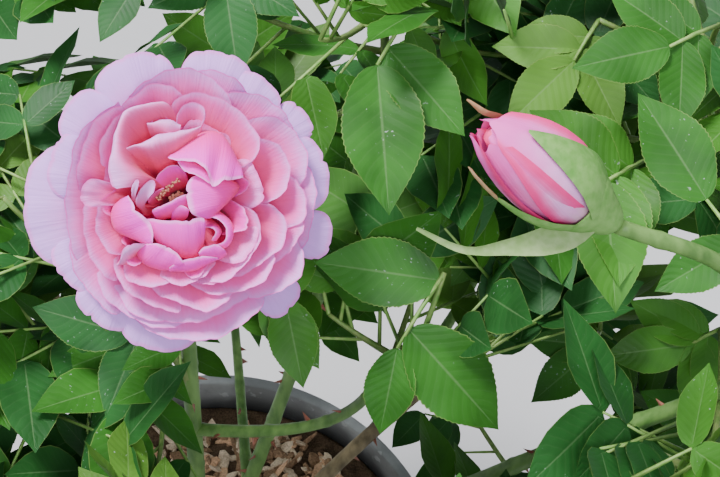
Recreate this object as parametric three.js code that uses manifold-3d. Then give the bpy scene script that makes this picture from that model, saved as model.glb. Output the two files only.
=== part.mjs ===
// A double pink rose bush that grows in a black nursery pot, with one open bloom and one
// opening bud. Millimetres, +Z up. The origin is the middle of the pot's flat underside,
// and -Y is the side that the open bloom leans towards.

import * as THREE from "three";
import { mergeVertices } from "three/addons/utils/BufferGeometryUtils.js";
import Module from "manifold-3d";

const wasm = await Module();
wasm.setup();

// Pot and potting mix
const POT_HEIGHT = 240;
const POT_RIM_RADIUS = 140;
const POT_FOOT_RADIUS = 108;
const POT_WALL = 2.2;
const RIM_BAND_HEIGHT = 24;
const RIM_BAND_STEP = 4;
const POT_SIDES = 40;
const MIX_BELOW_RIM = 28;
const MIX_CROWN = 9; // how much higher the mix stands round the stem than at the wall

// Stems
const SEAT = 0.3; // gap that pieces resting on each other keep
const STUMP_HEIGHT = 36;
const STUMP_FLARE_RADIUS = 22;
const STUMP_WAIST_RADIUS = 15;
const STUMP_KNOB_RADIUS = 20;
const CANE_SIDES = 7;

// Foliage
const TWIG_SIDES = 3;
const LEADER_RADII = [2.4, 1.4];
const SHOOT_RADII = [1.8, 1.2];
const STALK_RADII = [1.2, 0.8];
const SHOOTS = 5;
const SHOOT_NODES = [0.6, 1];
const LEADER_NODES = [1];
const LEAF_STALK = 44; // stalk of a whole leaf, from its shoot to the last leaflet
const LEAFLET_LENGTH = 43;
const LEAFLET_GAIN = 1.3; // fewer leaflets than the real bush has, so each is larger
const LEAFLET_WIDTH_SHARE = 0.6;
const LEAFLET_THICKNESS = 1.3;
const LEAFLET_FOLD = 0.04; // how far the edges stand above the midrib, as a share of width
const GOLDEN_ANGLE = (137.5 * Math.PI) / 180;
const LEAF_TURN = (144 * Math.PI) / 180;
const CELL_MARGIN = 1; // what a mass keeps from the planes half way to its neighbours
const REACH_SLACK = 1.1; // leaf tips may stand a little past a mass's reach
const LIMB_CLEARANCE = 4;
const BLOOM_CLEARANCE = 6;
const UNDER_BLOOM = 44; // below this depth under the bloom's middle leaves may pass
const BUD_CLEARANCE = 7;
const LOWEST_LEAF = POT_HEIGHT + 12;

// Bloom and bud
const BLOOM_RADIUS = 48;
const BLOOM_CENTRE = [33, -13, 694];
const BLOOM_AXIS = [0.117, -0.515, 0.846];
const PETAL_THICKNESS = 1.2;
const BUD_FOOT = [157.2, -51.5, 745.7];
const BUD_TIP = [118.3, -40, 776.5];
const BUD_RADIUS = 11.5;
const HIP_LENGTH = 9;
const CUP_FOOT = 37.5; // the foot of the bloom's cup below the bloom's middle

// Canes lean out from the stump: [name, place round the stump, compass angle of the tip, how
// far out and how high the tip is]. Angles are degrees anticlockwise from +X, from above.
const CANE_RADII = [4.4, 2.6];
const CANES = [
  ["right_cane", 1, 15, 195, 560],
  ["back_cane", 2, 45, 127, 562],
  ["back_left_cane", 3, 122, 143, 496],
  ["left_cane", 4, 175, 122, 468],
  ["front_left_cane", 5, 233, 143, 482],
  ["front_cane", 6, 291, 139, 506],
];

// The tallest cane leans out to the right, bends over at its top and ends in the bud.
const BLOOM_CANE_RADII = [5, 2.5];
const BUD_CANE_RADII = [4.6, 2.2];
const BUD_CANE_TOP = [0, -11, 224, 640]; // as for the other canes
const BUD_NECK = [192, -49, 718]; // a bend in the bud's stem

// Side boughs: [name, cane, how far up it, then the tip as for a cane].
const BOUGH_RADII = [3, 2.2];
const BOUGHS = [
  ["right_front_bough", "bud_cane", 0.3, -29, 180, 446],
  ["right_back_bough", "right_cane", 0.5, 33, 179, 474],
  ["back_bough", "back_cane", 0.3, 79, 114, 388],
  ["left_bough", "left_cane", 0.36, 155, 128, 386],
  ["front_bough", "front_cane", 0.3, 257, 109, 378],
  ["right_low_bough", "right_cane", 0.24, 4, 146, 368],
  ["middle_bough", "bloom_cane", 0.5, -4, 92, 536],
];

// Masses of foliage: [name, limb, how far up it the stem leaves or 1 for its tip, then the
// middle as a compass angle, how far out and how high, the reach and a seed].
const MASSES = [
  ["foliage_under_bloom", "bloom_cane", 0.6, 180, 8, 590, 92, 11],
  ["foliage_right_top", "right_cane", 1, 13, 209, 650, 104, 23],
  ["foliage_back_top", "back_cane", 1, 43, 127, 640, 108, 37],
  ["foliage_under_bud", "bud_cane", 0.62, -23, 222, 598, 94, 41],
  ["foliage_middle", "middle_bough", 1, -16, 112, 586, 92, 53],
  ["foliage_right_back", "right_back_bough", 1, 34, 219, 524, 100, 61],
  ["foliage_back_left", "back_left_cane", 1, 122, 155, 556, 104, 71],
  ["foliage_left_top", "left_cane", 1, 176, 130, 540, 104, 83],
  ["foliage_front_left", "front_left_cane", 1, 233, 153, 548, 102, 97],
  ["foliage_front_top", "front_cane", 1, 290, 151, 572, 102, 101],
  ["foliage_left_low", "left_bough", 1, 154, 171, 430, 98, 113],
  ["foliage_right_front", "right_front_bough", 1, -34, 212, 490, 98, 127],
  ["foliage_back_low", "back_bough", 1, 79, 145, 438, 98, 131],
  ["foliage_front_low", "front_bough", 1, 254, 133, 420, 98, 149],
  ["foliage_right_low", "right_low_bough", 1, 2, 188, 424, 98, 157],
];

// Leaves placed one by one round the bloom and the bud: [mass, how far up its leader the
// twig leaves, foot of the stalk, end of the stalk, tip of the end leaflet].
const PLACED_LEAVES = [
  ["foliage_back_top", 0.9, [111, 66, 705], [94, 36, 699], [98, -11, 684]],
  ["foliage_middle", 0.8, [128, 4, 652], [101, -32, 631], [96, -53, 613]],
  ["foliage_right_top", 0.8, [204, -16, 694], [191, -22, 711], [171, 4, 729]],
  ["foliage_right_top", 0.72, [180, 6, 690], [168, -14, 693], [168, -48, 679]],
  ["foliage_right_top", 0.95, [202, 42, 712], [184, 29, 718], [160, 22, 720]],
  ["foliage_under_bloom", 0.7, [12, -14, 606], [4, -22, 614], [-24, -20, 630]],
];

// Openings through the crown that stay free of leaves: [top, foot, radius].
const OPENINGS = [
  [[72, -78, 656], [53, 100, 263], 34],
  [[150, -62, 640], [192, 110, 269], 30],
];

const UP = new THREE.Vector3(0, 0, 1);
const point = (p) => new THREE.Vector3(...p);
const degrees = (angle) => (angle * Math.PI) / 180;
const polar = (angle, out, height) => {
  return new THREE.Vector3(out * Math.cos(degrees(angle)), out * Math.sin(degrees(angle)), height);
};

// A repeatable source of numbers from 0 to 1.
function random(seed) {
  let state = seed * 7919 + 12345;
  return () => {
    state = (Math.imul(state, 1664525) + 1013904223) >>> 0;
    return state / 4294967296;
  };
}

// A closed geometry as a solid. Only its positions are kept, and shared corners merged.
function solidOf(geometry) {
  geometry.deleteAttribute("normal");
  geometry.deleteAttribute("uv");
  const merged = mergeVertices(geometry, 1e-4);
  return new wasm.Manifold(
    new wasm.Mesh({
      numProp: 3,
      vertProperties: new Float32Array(merged.attributes.position.array),
      triVerts: new Uint32Array(merged.index.array),
    }),
  );
}

function geometryOf(solid) {
  const mesh = solid.getMesh();
  const geometry = new THREE.BufferGeometry();
  geometry.setAttribute("position", new THREE.BufferAttribute(mesh.vertProperties, 3));
  geometry.setIndex(new THREE.BufferAttribute(mesh.triVerts, 1));
  return geometry;
}

function faceted(points, faces) {
  const geometry = new THREE.BufferGeometry();
  const corners = points.flatMap((p) => p.toArray());
  geometry.setAttribute("position", new THREE.Float32BufferAttribute(corners, 3));
  geometry.setIndex(faces.flat());
  return solidOf(geometry);
}

// Joins solids two by two, so that each join stays small, and keeps the largest body.
function fuse(solids) {
  let level = solids;
  while (level.length > 1) {
    const next = [];
    for (let i = 0; i < level.length; i += 2) {
      next.push(i + 1 < level.length ? level[i].add(level[i + 1]) : level[i]);
    }
    level = next;
  }
  const bodies = level[0].decompose();
  return bodies.reduce((largest, body) => (body.volume() > largest.volume() ? body : largest));
}

// A body through rings of points, which go round counter-clockwise as seen from its end.
// It closes on flat ends, or on a point where a ring holds only one.
function loft(rings) {
  const sides = rings[0].length;
  const points = rings.flat();
  const faces = [];
  rings.slice(1).forEach((ring, i) => {
    for (let side = 0; side < sides; side++) {
      const a = i * sides + side;
      const b = i * sides + ((side + 1) % sides);
      if (ring.length === 1) faces.push([a, b, (i + 1) * sides]);
      else faces.push([a, b, b + sides], [a, b + sides, a + sides]);
    }
  });
  const last = (rings.length - 1) * sides;
  for (let side = 1; side < sides - 1; side++) {
    faces.push([0, side + 1, side]);
    if (rings.at(-1).length > 1) faces.push([last, last + side, last + side + 1]);
  }
  return faceted(points, faces);
}

// A tube along a curve. radiusAt gives its radius at a share of the length.
function tube(curve, radiusAt, sides, steps) {
  const frames = curve.computeFrenetFrames(steps, false);
  const rings = [];
  for (let step = 0; step <= steps; step++) {
    const middle = curve.getPointAt(step / steps);
    const ring = [];
    for (let side = 0; side < sides; side++) {
      const angle = (2 * Math.PI * side) / sides;
      const out = frames.normals[step].clone().multiplyScalar(Math.cos(angle));
      out.addScaledVector(frames.binormals[step], Math.sin(angle));
      ring.push(middle.clone().addScaledVector(out, radiusAt(step / steps)));
    }
    rings.push(ring);
  }
  return loft(rings);
}

const taper = ([foot, tip]) => (share) => foot + (tip - foot) * share;

// Revolves a profile of [radius, height] about +Z.
function turned(profile, sides) {
  const outline = profile.map(([radius, height]) => new THREE.Vector2(radius, height));
  const geometry = new THREE.LatheGeometry(outline, sides);
  geometry.rotateX(Math.PI / 2);
  return solidOf(geometry);
}

const wallLean = (POT_RIM_RADIUS - RIM_BAND_STEP - POT_FOOT_RADIUS) / POT_HEIGHT;
const wallRadius = (z) => POT_FOOT_RADIUS + wallLean * z;
const mixEdgeHeight = POT_HEIGHT - MIX_BELOW_RIM;
const mixTopHeight = mixEdgeHeight + MIX_CROWN;

// The pot: a tapered bucket with a thickened band round its rim.
function potSolid() {
  const bandFoot = POT_HEIGHT - RIM_BAND_HEIGHT;
  const lip = 1.5;
  return turned(
    [
      [0, 0],
      [POT_FOOT_RADIUS - lip, 0],
      [POT_FOOT_RADIUS, lip],
      [wallRadius(bandFoot), bandFoot],
      [POT_RIM_RADIUS - lip, bandFoot + lip],
      [POT_RIM_RADIUS, POT_HEIGHT - lip],
      [POT_RIM_RADIUS - lip, POT_HEIGHT],
      [wallRadius(POT_HEIGHT) - POT_WALL + lip, POT_HEIGHT],
      [wallRadius(POT_HEIGHT) - POT_WALL, POT_HEIGHT - lip],
      [wallRadius(POT_WALL) - POT_WALL, POT_WALL],
      [0, POT_WALL],
    ],
    POT_SIDES,
  );
}

// The potting mix fills the pot to below its rim and rises a little round the stem.
function mixSolid() {
  const foot = POT_WALL + SEAT;
  const inner = (z) => wallRadius(z) - POT_WALL - SEAT * 1.5;
  return turned(
    [
      [0, foot],
      [inner(foot), foot],
      [inner(mixEdgeHeight), mixEdgeHeight],
      [inner(mixEdgeHeight) * 0.6, mixEdgeHeight + MIX_CROWN * 0.5],
      [STUMP_FLARE_RADIUS + 6, mixTopHeight],
      [0, mixTopHeight],
    ],
    POT_SIDES,
  );
}

// The stump: a short woody foot that flares on to the mix and swells under the canes.
function stumpSolid() {
  const at = (share) => stumpFoot + STUMP_HEIGHT * share;
  return turned(
    [
      [0, stumpFoot],
      [STUMP_FLARE_RADIUS, stumpFoot],
      [STUMP_WAIST_RADIUS + 2, at(0.2)],
      [STUMP_WAIST_RADIUS, at(0.4)],
      [STUMP_KNOB_RADIUS, at(0.68)],
      [STUMP_KNOB_RADIUS * 0.7, at(0.93)],
      [0, at(1)],
    ],
    14,
  );
}

const bloomCentre = point(BLOOM_CENTRE);
const bloomAxis = point(BLOOM_AXIS).normalize();
const budFoot = point(BUD_FOOT);
const budTip = point(BUD_TIP);
const budAxis = budTip.clone().sub(budFoot).normalize();

const solids = new Map();
const limbs = new Map(); // name -> { curve, radii }

const stumpFoot = mixTopHeight + SEAT;
const knobHeight = stumpFoot + STUMP_HEIGHT * 0.55;

// The line of a cane. Its foot is one of seven evenly spaced round the stump, and it rises
// steeply at first and leans out ever more.
function caneLine(slot, angle, out, height) {
  const foot = polar((360 / 7) * (slot - 0.5), STUMP_WAIST_RADIUS, knobHeight);
  const tip = polar(angle, out, height);
  const aside = polar(angle + 90, 7 * Math.sin(slot * 2.4), 0);
  return [0, 0.36, 0.7, 1].map((share) => {
    const p = foot.clone().lerp(tip, share ** 1.15).setZ(foot.z + (tip.z - foot.z) * share);
    return p.addScaledVector(aside, Math.sin(Math.PI * share));
  });
}

// The bloom's cane climbs from the top of the stump and ends under the bloom's cup.
function bloomCaneLine() {
  const foot = new THREE.Vector3(0, 0, stumpFoot + STUMP_HEIGHT * 0.66);
  const under = bloomCentre.clone().addScaledVector(bloomAxis, -CUP_FOOT - SEAT);
  const neck = under.clone().addScaledVector(bloomAxis, -32);
  return [foot, foot.clone().lerp(neck, 0.3), foot.clone().lerp(neck, 0.62), neck, under];
}

// The bud's cane leans out like the others, bends over and runs back in to the bud.
function budCaneLine() {
  const foot = budFoot.clone().addScaledVector(budAxis, -SEAT);
  return [...caneLine(...BUD_CANE_TOP), point(BUD_NECK), foot];
}

function addCanes() {
  solids.set("stump", stumpSolid());
  const scale = (STUMP_KNOB_RADIUS + 2 * SEAT) / STUMP_KNOB_RADIUS;
  const lift = stumpFoot + STUMP_HEIGHT / 2;
  const lowered = solids.get("stump").translate([0, 0, -lift]);
  const around = lowered.scale([scale, scale, scale]).translate([0, 0, lift]);
  const lines = [
    ["bloom_cane", bloomCaneLine(), BLOOM_CANE_RADII],
    ["bud_cane", budCaneLine(), BUD_CANE_RADII],
    ...CANES.map(([name, ...tip]) => [name, caneLine(...tip), CANE_RADII]),
  ];
  for (const [name, points, radii] of lines) {
    const curve = new THREE.CatmullRomCurve3(points);
    limbs.set(name, { curve, radii });
    solids.set(name, fuse([tube(curve, taper(radii), CANE_SIDES, 3 * points.length).subtract(around)]));
  }
}

// A limb that leaves the side of another starts on its middle line and is cut clear of it.
function clearOf(solid, limb, share) {
  const { curve, radii } = limbs.get(limb);
  const from = Math.max(0, share - 0.12);
  const upTo = Math.min(1, share + 0.12);
  const steps = 6;
  const at = (t) => from + (upTo - from) * t;
  const stretch = [];
  for (let i = 0; i <= steps; i++) stretch.push(curve.getPointAt(at(i / steps)));
  const radiusAt = (t) => taper(radii)(at(t)) + 2 * SEAT;
  return solid.subtract(tube(new THREE.CatmullRomCurve3(stretch), radiusAt, 9, 6));
}

function addBoughs() {
  for (const [name, cane, share, ...tipAt] of BOUGHS) {
    const foot = limbs.get(cane).curve.getPointAt(share);
    const tip = polar(...tipAt);
    const outward = tip.clone().sub(foot).setZ(0).normalize();
    const curve = bend(foot, outward.addScaledVector(UP, 0.35).normalize(), tip, 0.6);
    limbs.set(name, { curve, radii: BOUGH_RADII });
    solids.set(name, fuse([clearOf(tube(curve, taper(BOUGH_RADII), CANE_SIDES, 5), cane, share)]));
  }
}

// The line of a twig: from one point, leaving along a direction, to another point.
function bend(from, direction, to, share = 0.5) {
  const handle = from.clone().addScaledVector(direction, share * from.distanceTo(to));
  return new THREE.QuadraticBezierCurve3(from, handle, to);
}

function twig(curve, radii, rings) {
  return tube(curve, taper(radii), TWIG_SIDES, rings);
}

// The rings of a leaflet from its root: the root, then its widest part, then its tip. Each
// ring is the right edge, the keel under the midrib and the left edge.
function leafletRings({ base, direction, normal, length }) {
  const width = length * LEAFLET_WIDTH_SHARE;
  const middle = base.clone().addScaledVector(direction, length * 0.44);
  const edges = middle.clone().addScaledVector(normal, width * LEAFLET_FOLD);
  return [
    threeSided(base, direction, normal, STALK_RADII[1]),
    [
      edges.clone().addScaledVector(direction.clone().cross(normal), width / 2),
      middle.clone().addScaledVector(normal, width * LEAFLET_FOLD - LEAFLET_THICKNESS),
      edges.clone().addScaledVector(direction.clone().cross(normal), -width / 2),
    ],
    [base.clone().addScaledVector(direction, length)],
  ];
}

// A small three-sided ring round a point: right, below and left of a direction.
function threeSided(at, direction, normal, radius) {
  const side = direction.clone().cross(normal);
  return [
    at.clone().addScaledVector(side, radius).addScaledVector(normal, radius / 2),
    at.clone().addScaledVector(normal, -radius),
    at.clone().addScaledVector(side, -radius).addScaledVector(normal, radius / 2),
  ];
}

// Where a mass's stem starts: at its limb's tip, or on the middle line of a limb's side.
function stemStart(limb, share, middle) {
  const { curve, radii } = limbs.get(limb);
  const from = curve.getPointAt(share);
  const along = curve.getTangentAt(share);
  if (share === 1) {
    const radiiHere = [radii[1], LEADER_RADII[1]];
    return { from: from.addScaledVector(along, SEAT), direction: along, radii: radiiHere };
  }
  const direction = middle.clone().sub(from).normalize().add(along).normalize();
  return { from, direction, radii: LEADER_RADII };
}

// A mass grows from one leader, which runs up through its middle. Shoots leave the leader
// by the golden angle, the lower ones longer and flatter.
function shootsOf([, limb, share, angle, out, height, reach], draw) {
  const middle = polar(angle, out, height);
  const start = stemStart(limb, share, middle);
  const top = middle.clone().addScaledVector(UP, reach * 0.4);
  const leader = bend(start.from, start.direction, top);
  const firstTurn = draw() * 2 * Math.PI;
  const shoots = [];
  for (let k = 0; k < SHOOTS; k++) {
    const up = k / (SHOOTS - 1);
    const turn = firstTurn + k * GOLDEN_ANGLE + (draw() - 0.5) * 0.5;
    const rise = degrees(4 + 34 * up + 12 * draw());
    const length = reach * (0.72 - 0.2 * up + 0.12 * draw());
    const way = new THREE.Vector3(Math.cos(turn), Math.sin(turn), 0).multiplyScalar(Math.cos(rise));
    way.z = Math.sin(rise);
    const from = leader.getPoint(0.3 + 0.64 * up);
    const leave = way.clone().addScaledVector(UP, -0.3).normalize();
    const curve = bend(from, leave, from.clone().addScaledVector(way, length));
    shoots.push({ curve, nodes: SHOOT_NODES, turn: k });
  }
  shoots.push({ curve: leader, nodes: LEADER_NODES, turn: SHOOTS, isLeader: true });
  return { leader, leaderRadii: start.radii, shoots, middle };
}

// How far along its curve a shoot can grow before it leaves the free part of its space.
function freeShare(curve, mass) {
  const steps = 10;
  for (let i = 1; i <= steps; i++) {
    const p = curve.getPoint(i / steps);
    const clearance = i > 2 ? LIMB_CLEARANCE : LIMB_CLEARANCE / 2;
    if (!inOwnSpace(p, mass, CELL_MARGIN + 2) || !isFree(p, clearance)) return (i - 1) / steps;
  }
  return 1;
}

// A leaf at a node of a shoot: its stalk leaves sideways, and its blade faces up and out.
function leafAt(shoot, at, index, middle, drawn, turnedBy) {
  const from = shoot.curve.getPoint(at);
  const along = shoot.curve.getTangent(at);
  const across = along.clone().cross(UP).normalize();
  const over = across.clone().cross(along);
  const roll = shoot.turn * 0.9 + index * LEAF_TURN + (drawn[0] - 0.5) * 0.6 + turnedBy;
  const spread = degrees(30 + 34 * drawn[1]);
  const way = along.clone().multiplyScalar(Math.cos(spread));
  way.addScaledVector(across, Math.sin(spread) * Math.cos(roll));
  way.addScaledVector(over, Math.sin(spread) * Math.sin(roll));
  way.z = way.z * 0.5 + 0.1;
  way.normalize();
  const outward = from.clone().sub(middle).setZ(0).normalize();
  const normal = UP.clone().addScaledVector(outward, 0.3);
  normal.x += (drawn[2] - 0.5) * 0.8;
  normal.y += (drawn[3] - 0.5) * 0.8;
  normal.addScaledVector(way, -normal.dot(way)).normalize();
  const size = 0.82 + 0.34 * drawn[4];
  const stalk = LEAF_STALK * size * (0.85 + 0.3 * drawn[5]);
  const end = from.clone().addScaledVector(way, stalk).addScaledVector(normal, -stalk * 0.12);
  return { line: new THREE.LineCurve3(from, end), normal, length: LEAFLET_LENGTH * LEAFLET_GAIN * size };
}

// A placed leaf faces the light from above and from the front.
function placedLeaf([, , foot, end, tip]) {
  const along = point(tip).sub(point(end)).normalize();
  const normal = new THREE.Vector3(0, -0.4, 0.9);
  normal.addScaledVector(along, -normal.dot(along)).normalize();
  const line = new THREE.LineCurve3(point(foot), point(end));
  return { line, normal, along, length: Math.max(LEAFLET_LENGTH, point(tip).distanceTo(point(end))) };
}

// The three leaflets that stand for a leaf: one at the end and a pair behind it.
function leafletsOf({ line, normal, length, along }) {
  const leaflets = [];
  for (const [at, angle, share] of [[1, 0, 1], [0.5, 60, 0.86], [0.5, -60, 0.86]]) {
    const ahead = along && at === 1 ? along.clone() : line.getTangent(at);
    const side = ahead.clone().cross(normal).normalize();
    const direction = ahead.multiplyScalar(Math.cos(degrees(angle)));
    direction.addScaledVector(side, Math.sin(degrees(angle)));
    if (!along) direction.addScaledVector(normal, -0.12);
    direction.normalize();
    const upright = normal.clone().addScaledVector(direction, -normal.dot(direction)).normalize();
    const base = line.getPoint(at);
    leaflets.push({ base, direction, normal: upright, length: length * share, ends: at === 1 });
  }
  return leaflets;
}

// The bodies of a leaf: its three-sided stalk, which runs on into the end leaflet, and the
// leaflets that leave its sides.
function leafSolids({ line, normal }, leaflets) {
  const along = line.getTangent(0);
  const foot = threeSided(line.getPoint(0), along, normal, STALK_RADII[0]);
  const end = leaflets.find((leaflet) => leaflet.ends);
  const onwards = end ? leafletRings(end) : [threeSided(line.getPoint(1), along, normal, STALK_RADII[1])];
  const others = leaflets.filter((leaflet) => leaflet !== end);
  return [loft([foot, ...onwards]), ...others.map((leaflet) => loft(leafletRings(leaflet)))];
}

// Points all over a leaflet, for the tests that keep it in its own space.
function leafletSamples(leaflet) {
  const { base } = leaflet;
  const [, [right, , left], [tip]] = leafletRings(leaflet);
  const samples = [right.clone().lerp(left, 0.25), right.clone().lerp(left, 0.75)];
  for (const u of [0.1, 0.3, 0.5, 0.7, 0.9, 1]) {
    samples.push(base.clone().lerp(right, u), right.clone().lerp(tip, u), base.clone().lerp(tip, u));
    samples.push(base.clone().lerp(left, u), left.clone().lerp(tip, u));
  }
  return samples;
}

function distanceToLine(p, a, b) {
  return new THREE.Line3(a, b).closestPointToPoint(p, true, new THREE.Vector3()).distanceTo(p);
}

const openings = OPENINGS.map(([top, foot, radius]) => [point(top), point(foot), radius]);

const middles = new Map(MASSES.map(([name, , , ...at]) => [name, polar(...at)]));

// True if p is nearer to this mass's middle than to any other's, and in its reach.
function inOwnSpace(p, [name, , , , , , reach], margin) {
  const own = middles.get(name);
  if (p.distanceTo(own) > reach * REACH_SLACK) return false;
  for (const [other, theirs] of middles) {
    if (other === name) continue;
    const apart = theirs.clone().sub(own);
    const half = apart.length() / 2;
    if (p.clone().sub(own).dot(apart.normalize()) > half - margin) return false;
  }
  return true;
}

// True if p is clear of the bloom, the bud, the openings, the pot and every limb.
function isFree(p, clearance = LIMB_CLEARANCE) {
  const fromBloom = p.clone().sub(bloomCentre);
  const besideBloom = fromBloom.dot(bloomAxis) > -UNDER_BLOOM;
  if (besideBloom && fromBloom.length() < BLOOM_RADIUS + BLOOM_CLEARANCE) return false;
  if (distanceToLine(p, budFoot, budTip) < BUD_RADIUS + BUD_CLEARANCE) return false;
  if (p.z < LOWEST_LEAF) return false;
  if (openings.some(([top, foot, radius]) => distanceToLine(p, top, foot) < radius)) return false;
  return limbLines.every(([a, b, radius]) => distanceToLine(p, a, b) > radius + clearance);
}

const limbLines = [];
function traceLimbs() {
  const pieces = 14;
  for (const { curve, radii } of limbs.values()) {
    for (let i = 0; i < pieces; i++) {
      const radius = taper(radii)((i + 0.5) / pieces);
      limbLines.push([curve.getPointAt(i / pieces), curve.getPointAt((i + 1) / pieces), radius]);
    }
  }
}

// True if p lies in the blade of a leaflet or just off it.
function inBlade(p, { base, direction, normal, length }) {
  const from = p.clone().sub(base);
  const along = from.dot(direction);
  const off = Math.abs(from.dot(normal));
  const aside = Math.abs(from.dot(direction.clone().cross(normal)));
  return along > 0 && along < length + 2 && off < 5 && aside < (length * LEAFLET_WIDTH_SHARE) / 2;
}

// The leaflets of a leaf that fit its space and touch no other leaflet there, or none if
// its stalk doesn't fit.
function fitting(leaf, mass, others) {
  const fits = (p) => inOwnSpace(p, mass, CELL_MARGIN) && isFree(p);
  if (![0.25, 0.5, 0.75, 1].every((t) => fits(leaf.line.getPoint(t)))) return [];
  return leafletsOf(leaf).filter((leaflet) => {
    const samples = leafletSamples(leaflet);
    if (!samples.every(fits)) return false;
    return others.every((other) => {
      const theirs = leafletSamples(other);
      return !samples.some((p) => inBlade(p, other)) && !theirs.some((p) => inBlade(p, leaflet));
    });
  });
}

// A mass: its leader, the shoots that stay in its space, and the leaves that fit there.
// A leaf that doesn't fit is turned round its shoot until as much of it as can be does.
function addMass(mass) {
  const [name, limb, share] = mass;
  const draw = random(mass.at(-1));
  const { leader, leaderRadii, shoots, middle } = shootsOf(mass, draw);
  const pieces = [twig(leader, leaderRadii, 3)];
  const leaflets = [];
  const addLeaf = (leaf, kept) => {
    pieces.push(...leafSolids(leaf, kept));
    leaflets.push(...kept);
  };
  for (const row of PLACED_LEAVES) {
    if (row[0] !== name) continue;
    const leaf = placedLeaf(row);
    const stalk = bend(leader.getPoint(row[1]), leader.getTangent(row[1]), point(row[2]));
    pieces.push(twig(stalk, SHOOT_RADII, 2));
    addLeaf(leaf, fitting(leaf, mass, leaflets));
  }
  for (const shoot of shoots) {
    const grown = shoot.isLeader ? 1 : freeShare(shoot.curve, mass);
    const keeps = grown >= 0.4;
    if (keeps && !shoot.isLeader) pieces.push(twig(partOf(shoot.curve, grown), SHOOT_RADII, 2));
    shoot.nodes.forEach((node, index) => {
      const drawn = [0, 1, 2, 3, 4, 5].map(draw);
      if (!keeps) return;
      let best = [];
      let bestLeaf = null;
      for (const turnedBy of [0, 1.2, -1.2, 2.4, -2.4]) {
        const leaf = leafAt(shoot, node * grown, index, middle, drawn, turnedBy);
        const kept = fitting(leaf, mass, leaflets);
        if (kept.length > best.length) [best, bestLeaf] = [kept, leaf];
      }
      if (best.length) addLeaf(bestLeaf, best);
    });
  }
  let solid = fuse(pieces);
  if (share !== 1) solid = fuse([clearOf(solid, limb, share)]);
  solids.set(name, solid);
}

// The first part of a curve, up to a share of it.
function partOf(curve, share) {
  const [a, b, c] = [curve.getPoint(0), curve.getPoint(share / 2), curve.getPoint(share)];
  const handle = b.multiplyScalar(2).addScaledVector(a, -0.5).addScaledVector(c, -0.5);
  return new THREE.QuadraticBezierCurve3(a, handle, c);
}

// Turns a solid made about +Z so that it stands on a point and looks along an axis.
function placed(solid, at, axis) {
  const turn = new THREE.Quaternion().setFromUnitVectors(UP, axis);
  const matrix = new THREE.Matrix4().compose(at, turn, new THREE.Vector3(1, 1, 1));
  return solid.transform(matrix.toArray());
}

// The bloom: whorls of petals round a folded heart. Its outline runs from the heart out
// over each whorl's rim and back into the groove behind it, then round under the last one.
// Each whorl is [petals, turn, rim radius, rim height, groove radius, groove height].
const WHORLS = [
  [3, 5.2, 7, 19, 9, 2],
  [4, 3.1, 15, 18, 13, 0],
  [5, 1.2, 23, 14, 19, -3],
  [6, 4.0, 31, 9.5, 27, -5],
  [7, 2.1, 39, 4, 35, -9],
  [7, 0.4, 46, -5, 30, -14],
];

function bloomSolid() {
  const sides = 24;
  const rows = [[3, 12, 0, WHORLS[0]]];
  for (const whorl of WHORLS) {
    const [, , rim, height, groove, depth] = whorl;
    const [before] = rows.at(-1);
    const inner = (before + rim) / 2;
    rows.push([inner, height - 7, 0.4, whorl], [rim - PETAL_THICKNESS, height, 1, whorl]);
    rows.push([rim, height - 0.4, 1, whorl], [(rim + groove) / 2, (height + depth) / 2 - 2, 0.3, whorl]);
    rows.push([groove + 0.6, depth, 0, whorl]);
  }
  rows.push([16, -17, 0, WHORLS[5]], [5, -21, 0, WHORLS[5]]);
  const rings = rows.map(([radius, height, share, [petals, phase]]) => {
    const ring = [];
    for (let side = 0; side < sides; side++) {
      const angle = (2 * Math.PI * side) / sides;
      const lobe = Math.cos(petals * angle + phase) + 0.4 * Math.cos(2 * angle + 3 * phase);
      const r = radius + 1.5 * share * lobe;
      const z = height + 1.6 * share * lobe;
      ring.push(new THREE.Vector3(r * Math.cos(-angle), r * Math.sin(-angle), z));
    }
    return ring;
  });
  return placed(loft(rings), bloomCentre, bloomAxis);
}

// A blade with sharp edges along a curve, such as one lobe of a calyx.
function blade(curve, normal, widths, thickness) {
  const last = widths.length - 1;
  const rings = widths.map((width, i) => {
    const middle = curve.getPoint(i / last);
    const side = normal.clone().cross(curve.getTangent(i / last)).normalize();
    const half = (thickness / 2) * Math.min(1, 0.4 + width / 4);
    return [
      middle.clone().addScaledVector(side, width / 2),
      middle.clone().addScaledVector(normal, half),
      middle.clone().addScaledVector(side, -width / 2),
      middle.clone().addScaledVector(normal, -half),
    ];
  });
  return loft(rings);
}

// The green cup under the bloom, with five lobes that bend back against the stem.
function bloomCalyxSolid() {
  const top = -21.3; // just under the bloom
  const swell = [[5, -34], [6.4, -28], [5, -23]];
  const cup = turned([[0, -CUP_FOOT], [2.6, -CUP_FOOT], ...swell, [5, top], [0, top]], 12);
  const lobes = [];
  for (let k = 0; k < 5; k++) {
    const turn = 0.17 + (k * 2 * Math.PI) / 5;
    const out = new THREE.Vector3(Math.cos(turn), Math.sin(turn), 0);
    const from = out.clone().multiplyScalar(3.9).setZ(-25);
    const over = out.clone().multiplyScalar(17).setZ(-22);
    const to = out.clone().multiplyScalar(17).setZ(-40);
    const curve = new THREE.QuadraticBezierCurve3(from, over, to);
    const normal = out.clone().multiplyScalar(0.6).setZ(0.8);
    lobes.push(blade(curve, normal, [3.6, 6.5, 5, 3, 1], 1.2));
  }
  return placed(fuse([cup, ...lobes]), bloomCentre, bloomAxis);
}

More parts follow.
